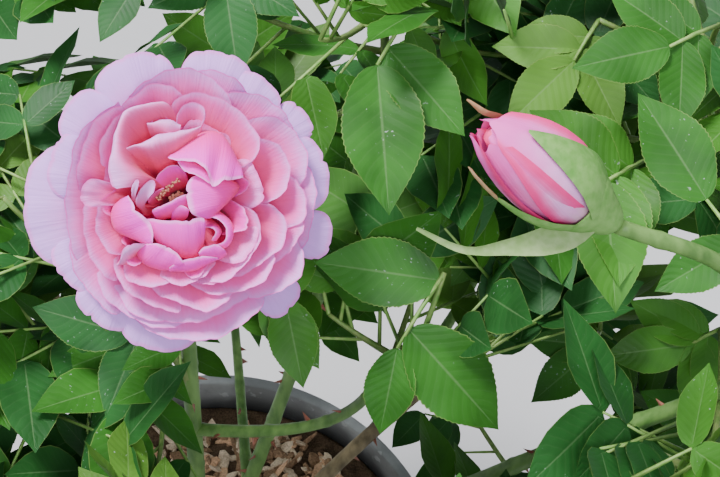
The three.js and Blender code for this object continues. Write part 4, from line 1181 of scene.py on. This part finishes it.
# The petals right at the heart have no common shape: each has its crest or belly, then its
# rim, as points to the right, up and out. Some show their deep pink inner face, some roll
# back and show the paler outer one.
HEART_FOLDS = [
    # the hood, which comes from the upper right and folds over the heart, and the fold below it
    ([(-3.4, 13.8, 9), (0, 16.6, 9), (3.4, 19.2, 9), (8.3, 20.4, 10), (12.6, 18.8, 10), (15.6, 15.8, 9),
      (17.6, 11.6, 8)],
     [(-4.5, 13.3, 13), (0.4, 12.6, 14), (4.4, 12.4, 15), (7.4, 9.6, 16), (9.8, 5.4, 15),
      (13, 7, 15.5), (18.4, 7.2, 12)]),
    ([(-0.9, 13.4, 8), (3.4, 13, 9), (8, 10.4, 10), (12, 8.6, 9)],
     [(-1.3, 12, 11.5), (1.3, 9.8, 12.5), (5.6, 8.1, 13), (9.8, 5, 12.5)]),
    # the smooth one under the hood, whose free edge runs down the middle of the heart
    ([(10.5, 9.5, 7), (14.9, 5.6, 8), (14.3, 3.2, 8), (12.9, 0.8, 8), (11.2, -1.8, 8),
      (9.4, -4.2, 7)],
     [(1.9, 8.4, 11), (1.6, 4.8, 12.5), (2, 1, 13), (2.9, -2.2, 13), (5, -3.9, 12), (7.3, -4.3, 11)]),
    # the broad one below the middle
    ([(-8.2, -9, 6), (-5.8, -12.6, 7), (-2.6, -14, 7.5), (0.6, -14.8, 7.5), (5.2, -14.4, 7),
      (7.6, -11, 6)],
     [(-10.9, -4.1, 10), (-7.6, -4.9, 11), (-3.8, -5.5, 12), (0.6, -5.2, 12.5), (4.3, -4, 12),
      (7.6, -2.6, 12.5)]),
    # the left one, which folds in with a pale rim
    ([(-17.2, 0.6, 8), (-19.4, -1.5, 9), (-19.9, -4.4, 9), (-18.3, -8.2, 9), (-14.2, -10.6, 8),
      (-9.4, -12.4, 8)],
     [(-14.2, 2, 14), (-13.1, -2.2, 14.5), (-10.2, -4.8, 14.5), (-7.7, -8.5, 14), (-6.9, -11.9, 13)]),
    # the lip at the bottom and the crescent beside it
    ([(-11.6, -13, 8), (-12, -15.6, 8), (-10.1, -18, 8.5), (-6.4, -19.6, 8.5), (-2.6, -19.9, 8),
      (1.4, -18.8, 8)],
     [(-8.9, -12.1, 12.5), (-6.3, -12.3, 13.5), (-2.7, -13.8, 13.5), (-0.4, -14.9, 13), (1.9, -16.9, 12.5)]),
    ([(-2.8, -20.2, 7), (3.7, -20.4, 7.5), (8.6, -18.2, 7), (12.2, -15.6, 6)],
     [(-2.6, -18.4, 11.5), (2.2, -16.9, 12), (7, -16, 11.5), (11.6, -15.6, 10.5)]),
    # the curled one at the lower right, the small one in it and the lobe below it
    ([(7, -3, 5), (12, -2.8, 6), (15.6, -5.6, 6), (16, -9, 6), (14.4, -12.4, 6), (10, -14, 5)],
     [(7.8, -4.3, 9), (11, -4.3, 10), (13.4, -6.2, 10), (13.9, -9, 10), (12.8, -11.5, 10), (9.4, -12.3, 9)]),
    ([(7.6, -6, 3), (10.6, -6, 4), (12.6, -8, 4), (11, -11, 4)],
     [(7.4, -7.4, 7.5), (9.8, -7.2, 8.5), (11, -8.6, 8.5), (9.2, -10.6, 8)]),
    ([(6.2, -15.6, 8), (9.4, -16.4, 8), (12.8, -16.4, 8), (14.4, -14.6, 7)],
     [(5.8, -14.1, 11.5), (8, -12.8, 12.5), (11.4, -12.2, 12.5), (13.8, -13.4, 11.5)]),
    # the innermost ones round the stamens
    ([(-7.4, 3.4, 3), (-4.6, 6, 4), (-0.6, 8.2, 5), (2, 8, 5)],
     [(-8.7, 5.6, 8), (-5.8, 9.2, 9.5), (-1.8, 11.9, 10.5), (0.6, 10.4, 10)]),
    ([(-7.4, -4.6, 6), (-4.4, -3.6, 7), (0.4, -1.8, 7), (3, -0.6, 6)],
     [(-8.7, -2, 9), (-5, -0.6, 11), (-1.6, 1.4, 11.5), (2.4, 3.2, 11)]),
    ([(-2.6, -5.4, 5), (-0.4, -4.6, 6), (2.4, -3.4, 6)],
     [(-2.4, -1.8, 9), (0.2, -0.6, 10), (2.6, -1.2, 9.5)]),
    ([(-9.4, -0.4, 1), (-7.6, 1.8, 2), (-5.6, 3.4, 2)],
     [(-9.4, 0.8, 6), (-7.4, 3, 7), (-4.4, 4.4, 6.5)]),
]
PALE_FOLDS = [
    # two small pale tips beside the deepest hollow
    ([(-14.4, 1, 11), (-13.6, 0.8, 11), (-12.9, 0.8, 11)],
     [(-14.3, 4.2, 15), (-13.5, 6.4, 16), (-12.4, 6.6, 16), (-11.8, 4.9, 15.5)]),
    ([(-12.9, -1.2, 10), (-11.6, -0.9, 10), (-10.4, -0.3, 10)],
     [(-12.4, 2, 13.5), (-10.9, 4.8, 14), (-8.4, 6.9, 14), (-7.2, 4, 13.5)]),
    # the long pale one at the upper left, whose rim rolls back
    ([(-4, 29.4, 11), (-15.6, 25.6, 13), (-17.9, 19.6, 14.5), (-17.2, 12.6, 15.5), (-13, 7.2, 15),
      (-14.6, 4.4, 14)],
     [(-9, 29.9, 10.5), (-16.8, 27, 12), (-20, 20.6, 13.5), (-21, 12.6, 14.5), (-21.5, 7, 14),
      (-20.8, 3.2, 13)]),
    # two at the top that roll back and show their paler outer face
    ([(-10.4, 22.6, 11.5), (-7.6, 22, 12), (-4.2, 21.2, 12), (-0.6, 21.8, 11)],
     [(-10, 23.4, 11), (-7.2, 24.4, 11.5), (-3.4, 24.8, 11.5), (-0.4, 24, 10.5)]),
    ([(-16.9, 15, 12), (-13.4, 15.9, 13), (-9.4, 15.7, 13.5), (-5, 17.2, 13.5), (0.4, 19.6, 12.5),
      (5.2, 22.6, 11)],
     [(-16.8, 15.9, 12), (-13.6, 17, 12.8), (-9.9, 18.6, 12.8), (-6, 20.6, 12.4), (-0.6, 22, 11.6),
      (5.8, 23.4, 10)]),
    # the tongue at the lower left
    ([(-18.4, -18.8, 9), (-15.6, -18.6, 8), (-13.6, -16, 7.5), (-11, -13.4, 7)],
     [(-17.4, -18.6, 12), (-16.5, -14.2, 13), (-13.6, -12.5, 13.5), (-9.2, -11.8, 13)]),
]


def set_on(axis, foot, points, triangles):
    """Turns points by the least turn that takes +Z to an axis and moves them to a foot."""
    x, y, z = axis
    k = 1 / (1 + z)
    turn = np.array([[1 - x * x * k, -x * y * k, -x], [-x * y * k, 1 - y * y * k, -y], [x, y, z]])
    return points @ turn + foot, triangles


def petal_sheets(petals, seed, ruffle, rows=20, columns=37):
    """Petals as sheets of cubic curves, u across from -1 to 1 and v from foot to rim. The
    curve of each u starts on a small arc at the foot and ends on the rim's own arc, where it
    has the petal's lean. Its end is cut short towards the sides, which rounds the petal, and
    by small nicks. Waves that grow towards the rim lift it and push it out and in, and a
    petal that folds in bends the fuller the more it does."""
    draw = np.random.default_rng(seed)
    turn, out, bend_radius, spread, height, lean, twist = np.array(petals, float).T[..., None, None]
    turn, spread, lean, twist = (np.radians(angle) for angle in (turn, spread, lean, twist))
    each = (len(petals), 1, 1)
    u = np.linspace(-1, 1, columns)[None, None, :]
    v = np.linspace(0, 1, rows)[None, :, None] ** 0.8
    facing = turn + twist
    phase = draw.uniform(0, 7, each)
    arc = facing + spread * u
    rim_x = out * np.cos(turn) + bend_radius * (np.cos(arc) - np.cos(facing))
    rim_y = out * np.sin(turn) + bend_radius * (np.sin(arc) - np.sin(facing))
    width = bend_radius * spread
    slow = np.sin(2.6 * u + phase) + 0.6 * np.sin(5.3 * u + 2.3 * phase)
    quick = np.sin(width * u * 0.45 + phase) + 0.5 * np.sin(width * u + 3 * phase)
    quick = quick + 0.3 * np.sin(width * u * 2.1 + 5 * phase)
    rim_z = height + 0.9 * ruffle * slow - 0.09 * width * u**2
    tip = [np.sin(lean) * np.cos(arc), np.sin(lean) * np.sin(arc), np.cos(lean)]
    foot_turn = facing + 0.5 * u
    foot = [PETAL_FOOT * np.cos(foot_turn), PETAL_FOOT * np.sin(foot_turn), PETAL_FOOT_HEIGHT]
    rise = [0.75 * np.cos(facing + 0.9 * u), 0.75 * np.sin(facing + 0.9 * u), 0.66]
    rim = [rim_x, rim_y, rim_z]
    gap = np.sqrt(sum((b - a) ** 2 for a, b in zip(foot, rim)))
    nick = np.exp(-(((u - draw.normal(0, 0.35, each)) / 0.045) ** 2))
    nick = nick + np.exp(-(((u - draw.normal(0, 0.5, each)) / 0.03) ** 2))
    taper = 0.26 + draw.normal(0, 0.04, each)
    length = 1 - taper * np.abs(u) ** 4.2 - 0.014 * nick - 0.002 * quick
    t = v * length
    crumple = np.sin(3.6 * u + 1.3 * phase + 3 * t) + 0.6 * np.sin(7.1 * u - phase + 4 * t)
    swell = ruffle * (0.7 * slow * t**3 + 0.45 * quick * t**6 + 0.5 * crumple * np.sin(np.pi * t) ** 2)
    full = 0.36 + 0.3 * np.clip(-np.sin(lean), 0, 1)
    points = []
    for a, way_a, way_b, b in zip(foot, rise, tip, rim):
        first = a + way_a * gap * 0.36
        second = b - way_b * gap * full
        near = (1 - t) ** 3 * a + 3 * t * (1 - t) ** 2 * first
        points.append(near + 3 * t**2 * (1 - t) * second + t**3 * b)
    points[0] = points[0] + swell * np.cos(arc) * np.cos(lean)
    points[1] = points[1] + swell * np.sin(arc) * np.cos(lean)
    points[2] = points[2] - swell * np.sin(lean)
    return np.stack(points, -1)


def open_petal(height, rim):
    """The crest and the rim of a petal that stands open: the crest is a little further in
    and lower, and the ends of the rim hang down."""
    rim = np.array([(x, y, height) for x, y in rim], float)
    rim[[0, -1], 2] -= 2.5
    return rim * [0.84, 0.84, 1] - [0, 0, 4.2], rim


def fold_sheets(folds, seed, ruffle, rows=20, columns=37):
    """Petals laid out by two lines each: the smooth surface that rises from a small arc at
    the foot, passes the crest at seven tenths of its way and ends at the rim, a quadratic
    for each place across. Waves push it up and out, more towards the rim. Lines that run the
    other way round the foot are turned, so that every sheet faces inward."""
    draw = np.random.default_rng(seed)
    u = np.linspace(0, 1, columns)
    across = u[None, :, None]
    v = np.linspace(0, 1, rows)[:, None, None] ** 0.8
    sheets = []
    for crest, rim in folds:
        crest, rim = through(crest).at(u), through(rim).at(u)
        facing = np.cross(crest[-1] - crest[0], rim.mean(0) - [0, 0, PETAL_FOOT_HEIGHT])
        if facing[:2] @ crest.mean(0)[:2] > 0:
            crest, rim = crest[::-1], rim[::-1]
        middle = crest.mean(0) * [1, 1, 0]
        foot = middle / np.linalg.norm(middle) * PETAL_FOOT + (crest - crest.mean(0)) * [0.14, 0.14, 0]
        foot = foot + [0, 0, PETAL_FOOT_HEIGHT]
        wide = np.linalg.norm(np.diff(rim, axis=0), axis=1).sum()
        phase = draw.uniform(0, 7)
        place = wide * across
        wave = np.sin(place * 0.33 + phase + 2 * v) + 0.6 * np.sin(place * 0.8 + 2 * phase) * v
        wave = wave + 0.3 * np.sin(place * 1.7 + 3 * phase) * v**4
        nick = np.exp(-(((across - draw.uniform(0.2, 0.8)) / 0.03) ** 2)) * v**8
        reach = v * (1 - 0.05 * np.abs(2 * across - 1) ** 5) - 0.012 * nick
        sheet = foot * (reach - 0.7) * (reach - 1) / 0.7 + crest * reach * (reach - 1) / -0.21
        sheet = sheet + rim * reach * (reach - 0.7) / 0.3
        lift = unit(sheet * [1, 1, 0]) * 0.5 + [0, 0, 0.6]
        sheets.append(sheet + lift * ruffle * wave * 0.5 * v**2)
    return np.array(sheets)


def closed_sheet(points, thickness):
    """Gives sheets a second side: their inner points moved down their normals, with the
    borders shared. A corner triangle that has no inner point is left out on both sides.
    Returns points, triangles and the place of each point across and along."""
    count, rows, columns, _ = points.shape
    normal = np.cross(np.gradient(points, axis=2), np.gradient(points, axis=1))
    normal /= np.linalg.norm(normal, axis=-1, keepdims=True) + 1e-9
    inner = np.zeros((rows, columns), bool)
    inner[1:-1, 1:-1] = True
    back = points - normal * thickness * inner[None, ..., None]
    size = rows * columns
    front_index = np.arange(size).reshape(rows, columns)
    back_index = np.where(inner, front_index + size, front_index)
    front, behind = skin(front_index), skin(back_index)
    inside = inner.ravel()[front].any(1)
    faces = np.concatenate([front[inside], behind[inside][:, ::-1]])
    verts = np.concatenate([points.reshape(count, size, 3), back.reshape(count, size, 3)], 1)
    u, v = np.meshgrid(np.linspace(0, 1, columns), np.linspace(0, 1, rows))
    uv = np.tile(np.stack([u, v], -1).reshape(-1, 2), (2, 1))
    used, packed = np.unique(faces, return_inverse=True)
    return *repeated(verts[:, used], packed.reshape(-1, 3)), np.tile(uv[used], (count, 1))


def petal_finish(name, blush_and_shade, foot, middle, pale, rim):
    """A petal: deep at its foot, paler towards its rim, with fine veins that fan out along
    it, soft blotches and a thin deeper line along the very rim. The deep foot is partly the
    petal's own colour and partly painted shade between the petals, and the pale end partly
    painted light on the rims. The second number is how much further up than on the outer
    petals the deep colour reaches."""
    finish = Finish(name, Roughness=0.6, Specular_IOR_Level=0.2, Sheen_Weight=0.1, Sheen_Roughness=0.4)
    across, along = finish.across()
    wander = finish.noise(finish.place(), 130.0, 3)
    veins = finish.veins(across * 46, along * 2.5)
    out = along + (wander - 0.5) * 0.2 + (veins - 0.5) * 0.12
    # The foot colour is partly painted shade deep between the petals, and the pale colour partly painted
    # light on the rims.
    body = finish.mix(out.step(0.2 + blush_and_shade, 0.6 + blush_and_shade), foot, middle)
    body = finish.mix(out.step(0.5 + blush_and_shade, 0.93 + blush_and_shade * 0.4), body, pale)
    line = (along + (wander - 0.5) * 0.04).step(0.955, 0.99)
    finish.colour(finish.mix(line * 0.6, body, rim))
    finish.bump(veins, 0.0004, 0.6)
    finish.let_light_through(0.32, middle)
    return finish


# The deep foot colours are partly painted shade in the hollows between petals, lightened in the heart as
# painted bounced light, and the pale end colours are partly painted light on the rims.
PETAL_GROUPS = [  # sheets, how far up the deep colour and its painted shade reach, then the colours at foot, middle, end and rim
    ("outer", petal_sheets(OUTER_PETALS, 5, 0.55), 0.0,
     (0.84, 0.22, 0.46), (0.74, 0.27, 0.68), (0.66, 0.37, 0.87), (0.82, 0.22, 0.68)),
    ("hidden", petal_sheets(HIDDEN_PETALS, 6, 0.6), 0.2,
     (0.9, 0.12, 0.28), (0.86, 0.2, 0.56), (0.8, 0.38, 0.88), (0.86, 0.16, 0.6)),
    ("wide", fold_sheets([open_petal(*row) for row in WIDE_RIMS], 7, 1.2), 0.2,
     (0.9, 0.1, 0.3), (0.86, 0.19, 0.6), (0.78, 0.41, 0.93), (0.9, 0.1, 0.55)),
    ("middle", fold_sheets([open_petal(*row) for row in MIDDLE_RIMS], 8, 1.2), 0.26,
     (0.88, 0.09, 0.3), (0.9, 0.15, 0.56), (0.84, 0.41, 0.95), (0.9, 0.08, 0.5)),
    ("inner", petal_sheets(INNER_PETALS, 9, 1.0), 0.26,
     (0.9, 0.08, 0.22), (0.91, 0.15, 0.52), (0.88, 0.38, 0.92), (0.9, 0.14, 0.6)),
    ("pale_folds", fold_sheets(PALE_FOLDS, 10, 0.9), 0.06,
     (0.88, 0.07, 0.22), (0.9, 0.13, 0.4), (0.84, 0.42, 0.95), (0.9, 0.16, 0.66)),
    ("heart", petal_sheets(HEART_PETALS, 11, 1.3), 0.15,
     (0.9, 0.08, 0.24), (0.96, 0.06, 0.44), (0.97, 0.08, 0.68), (0.94, 0.36, 0.9)),
    ("deep_folds", fold_sheets(HEART_FOLDS, 12, 0.9), 0.12,
     (0.9, 0.07, 0.24), (0.98, 0.045, 0.48), (0.98, 0.06, 0.76), (0.95, 0.5, 0.97)),
]
for label, sheets, blush_and_shade, *colours in PETAL_GROUPS:
    *mesh, uv = closed_sheet(sheets, PETAL_THICKNESS)
    mesh = set_on(BLOOM_AXIS, BLOOM_CENTRE, *mesh)
    finish = petal_finish(f"petal_{label}", blush_and_shade, *colours)
    petals = add_piece(f"petals_{label}", *mesh, [finish], "petal", uv, sharp=80)
    if label == "outer":
        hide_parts("bloom")


# Stamens: thin filaments on the bottom of the cup, each with a tan anther. They are pressed
# to one side and show as a slanting row between the folded petals of the heart. A tuft of
# short thick styles fills the bottom of the cup.
STAMENS = 60
STYLES = 44


def stamens():
    """Straight filaments from the bottom of the cup up to a slanting row, each with a small
    block as its anther."""
    draw = np.random.default_rng(12)
    parts = []
    for _ in range(STAMENS):
        place = draw.uniform(0, 1)
        tip = np.array([8 * place - 7, 8 * place + 1.3, 4.5 * place - 1.5]) + draw.normal(0, 0.5, 3)
        foot = np.array([tip[0] * 0.8, tip[1] * 0.8, PETAL_FOOT_HEIGHT])
        way = unit(tip - foot)
        parts.append(tube(np.stack([foot, tip]), [0.2, 0.15], 4))
        anther = np.stack([tip, tip + way * 0.5, tip + way * 1.2])
        parts.append(tube(anther, [0.25, 0.55, 0.25], 5))
    for k in range(STYLES):
        turn = k * GOLDEN_ANGLE
        out = 0.5 * math.sqrt(k)
        foot = np.array([out * math.cos(turn), out * math.sin(turn), PETAL_FOOT_HEIGHT])
        parts.append(tube(np.stack([foot, foot * 1.1 + 12 * UP]), [0.55, 0.6], 5))
    return joined(parts)


tan = plain_finish("stamen_tan", 0.8, 900.0, (0.66, 0.4, 0.22), (0.84, 0.6, 0.38))
add_piece("stamens", *set_on(BLOOM_AXIS, BLOOM_CENTRE, *stamens()), [tan], "petal", sharp=60)


# Calyx of the bloom: the small green cup that holds the petals, with five narrow lobes that
# have bent back against the stem.
def calyx_finish(name, dark, light):
    finish = Finish(name, Roughness=0.6, Specular_IOR_Level=0.3)
    grain = finish.noise(finish.place(), 420.0, 4)
    patch = finish.noise(finish.place(), 90.0, 3)
    finish.two_tone(grain * 0.5, patch * 0.6, dark, light)
    finish.bump(grain, 0.0003, 0.6)
    finish.let_light_through(0.1, light)
    return finish


def lobe(line, normal, widths, cup, thickness, rows=22, columns=9):
    """A calyx lobe: a strip along a line, as wide as the widths say, hollow across by cup
    times the square of the place across, and given a second side."""
    share = np.linspace(0, 1, rows)
    points = line.at(share)
    along = line.along(share)
    up = unit(normal - along * (along @ normal)[:, None])
    side = np.cross(along, up)
    half = np.interp(share, np.linspace(0, 1, len(widths)), widths) / 2
    across = np.linspace(-1, 1, columns)
    sheet = points[:, None] + side[:, None] * (half[:, None] * across)[..., None]
    sheet = sheet + up[:, None] * (cup * half[:, None] * across**2)[..., None]
    return closed_sheet(sheet[None], thickness)[:2]


calyx_green = calyx_finish("calyx_green", (0.1, 0.28, 0.045), (0.22, 0.41, 0.11))
cup_profile = rounded([
    [0, -CUP_FOOT], [2.6, -CUP_FOOT], [5, -34], [6.4, -28], [5.2, -23], [4, -19], [0, -18.5],
], 1.6, 6)
calyx_parts = [revolve(cup_profile, 40)]
for k in range(5):
    turn = 0.17 + k * 2 * math.pi / 5
    out = np.array([math.cos(turn), math.sin(turn), 0])
    path = Line(bend(out * 4.2 - 24.5 * UP, unit(out + 0.25 * UP), out * 17 - 40 * UP, 0.9))
    calyx_parts.append(lobe(path, unit(out * 0.6 + 0.8 * UP), (3.6, 6.5, 5, 3, 0.8), 0.3, 0.6))
calyx_mesh = set_on(BLOOM_AXIS, BLOOM_CENTRE, *joined(calyx_parts))
bloom_calyx = add_piece("bloom_cup", *calyx_mesh, [calyx_green], "calyx", sharp=80)
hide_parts("bloom_calyx")


# Bud: petals rolled to a point, which have just begun to open. Each wraps half round the bud
# and its free edge stands out a little, so that a deep pink seam shows beside it.
HIP_LENGTH = 9.0
BUD_LENGTH = float(np.linalg.norm(BUD_TIP - BUD_FOOT))
BUD_PETALS = 7
BUD_RADII = [5, 8.6, 10.7, 11.2, 10.9, 10, 8.5, 6.4, 3.2]  # from its foot to its tip


def bud_radius(share):
    return np.interp(share, np.linspace(0, 1, len(BUD_RADII)), BUD_RADII)


def bud_sheets(rows=34, columns=31):
    """Petals wrapped round the bud: at each height they run round it by u, and stand off it
    by their place in the wrap and by a curl at their free edge, which leans as it climbs."""
    u = np.linspace(-1, 1, columns)[None, None, :]
    v = np.linspace(0, 1, rows)[None, :, None]
    k = np.arange(BUD_PETALS)[:, None, None]
    reach = 1 - 0.035 * (k % 4) - 0.12 * np.abs(u) ** 2.5 * (0.6 + 0.4 * np.sin(2.1 * k))
    reach = reach + 0.012 * np.sin(6 * u + 2 * k)
    height = v * reach
    wrap = 1.35 * (1 - 0.3 * v)
    theta = 2.399 * k + 2.9 + wrap * u + 0.8 * height
    opens = np.where(k == 0, 2.2, 1.3)  # the first petal opens higher up, past the lobe over it
    open_edge = (u * 0.5 + 0.5) ** 5 * np.sin(np.pi * np.clip(height, 0, 1) ** opens) ** 0.8
    off = -0.42 * k + 2.1 * open_edge + 0.9 * np.clip(height - 0.75, 0, 1) * u
    ripple = 0.2 * np.sin(7 * u + k) * height**2
    radius = np.maximum(bud_radius(height) + off + ripple, 0.2)
    z = HIP_LENGTH + 0.3 + height * (BUD_LENGTH - HIP_LENGTH - 0.3)
    return np.stack([radius * np.cos(theta), radius * np.sin(theta), z + 0 * theta], -1)


def bud_finish():
    """The bud's petals: cream at the foot, pale pink on the body and deep pink at the edges
    and towards the tip, where they come out of the wrap last."""
    finish = Finish("petal_bud", Roughness=0.55, Specular_IOR_Level=0.25)
    across, along = finish.across()
    wander = finish.noise(finish.place(), 160.0, 3)
    veins = finish.veins(across * 40, along * 2)
    side = abs(across - 0.5) * 2 + (wander - 0.5) * 0.3 + (veins - 0.5) * 0.15
    above_foot = (along + (veins - 0.5) * 0.2).step(0.02, 0.3)
    near_tip = (along + (wander - 0.5) * 0.3).step(0.4, 0.9)
    body = finish.mix(above_foot, (0.84, 0.6, 0.6), (0.84, 0.42, 0.8))
    body = finish.mix(near_tip * 0.9, body, (0.92, 0.13, 0.6))
    finish.colour(finish.mix(side.step(0.5, 0.95), body, (0.88, 0.05, 0.28)))
    finish.bump(veins, 0.00025, 0.5)
    finish.let_light_through(0.3, (0.93, 0.25, 0.5))
    return finish


*bud_mesh, bud_uv = closed_sheet(bud_sheets(), 0.35)
bud_mesh = set_on(BUD_AXIS, BUD_FOOT, *bud_mesh)
bud = add_piece("bud_petals", *bud_mesh, [bud_finish()], "petal", bud_uv, sharp=80)
core_share = np.linspace(0, 1, 24)
core_height = HIP_LENGTH + core_share * (BUD_LENGTH - HIP_LENGTH - 4)
core_profile = np.stack([bud_radius(core_share) * 0.7, core_height], -1)
core_profile = np.vstack([[0, HIP_LENGTH], core_profile, [0, BUD_LENGTH - 3.6]])
core_pink = plain_finish("petal_core", 0.6, 300.0, (0.7, 0.03, 0.16), (0.82, 0.09, 0.28))
core_mesh = set_on(BUD_AXIS, BUD_FOOT, *revolve(core_profile, 24))
add_piece("bud_core", *core_mesh, [core_pink], "petal")
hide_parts("bud")


# Calyx of the bud: the round green hip, three lobes that still hug the petals, two of them
# with dry tan tips, and one long leafy lobe that hangs out to the front and bends up.
LEAFY_LOBE = [
    (150, -51, 753), (143, -57, 751), (135, -59.5, 751), (127, -61, 751), (116, -62, 751),
    (103, -59, 757),
]
LOBES = [  # turn, reach past the hip, width, how far its tip stands off the petals, and if dry
    (-0.25, 33, 15.5, 0.6, False),
    (4.1, 39, 10.5, 4.5, True),
    (1.6, 46, 6.5, 1.2, True),
]


def lobe_line(turn, reach, off_tip):
    """Runs from the hip up the bud's side, a little off its petals and further at its tip."""
    along = np.linspace(-3, reach, 30)
    share = np.clip(along / (BUD_LENGTH - HIP_LENGTH), 0, 1)
    off = np.where(along < 0, 4.4 + (along + 3) * 0.35, bud_radius(share) + 1.1)
    off = np.maximum(off, 5.5 * np.clip(along / 4 + 0.8, 0, 1))
    off = off + off_tip * np.clip(along / reach, 0, 1) ** 1.6
    return Line(np.stack([off * math.cos(turn), off * math.sin(turn), HIP_LENGTH + along], -1))


hip_profile = rounded([
    [0, 0.3], [2.3, 0.3], [4.4, 2.6], [5.8, 5.6], [6.8, 8], [8.4, 10.8], [9.7, 14], [9.8, 15], [9.2, 15],
    [7.2, 11.5], [4.5, HIP_LENGTH], [0, HIP_LENGTH],
], 1.4, 6)
hip_parts = [revolve(hip_profile, 36)]
tan_parts = []
for turn, reach, width, off_tip, dry in LOBES:
    line = lobe_line(turn, reach, off_tip)
    out = np.array([math.cos(turn), math.sin(turn), 0.1])
    widths = (8, width * 1.15, width, width * 0.75, width * 0.45, 2.2 if dry else 1.0)
    green = Line(line.at(np.linspace(0, 0.74, 30))) if dry else line
    hip_parts.append(lobe(green, out, widths, -0.3, 0.6))
    if dry:
        tip = Line(line.at(np.linspace(0.73, 1, 20)))
        tan_parts.append(lobe(tip, out, (2.3, 2.4, 1.9, 0.7), -0.2, 0.55, rows=12, columns=5))
hip_mesh = set_on(BUD_AXIS, BUD_FOOT, *joined(hip_parts))
bud_calyx = add_piece("bud_hip", *hip_mesh, [calyx_green], "calyx", sharp=80)
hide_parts("bud_calyx")
leafy_facing = np.array([0.2, -0.6, 0.77])
leafy_widths = (8, 8, 7.4, 4.4, 2.2, 1.7, 1.0)
leafy_mesh = lobe(through(LEAFY_LOBE), leafy_facing, leafy_widths, 0.25, 0.6)
pale_green = calyx_finish("calyx_pale", (0.15, 0.26, 0.07), (0.29, 0.38, 0.17))
add_piece("bud_leafy_lobe", *leafy_mesh, [pale_green], "calyx", sharp=80)
tips_mesh = set_on(BUD_AXIS, BUD_FOOT, *joined(tan_parts))
dry_tan = calyx_finish("calyx_tan", (0.35, 0.2, 0.09), (0.6, 0.42, 0.22))
add_piece("bud_lobe_tips", *tips_mesh, [dry_tan], "calyx", sharp=80)
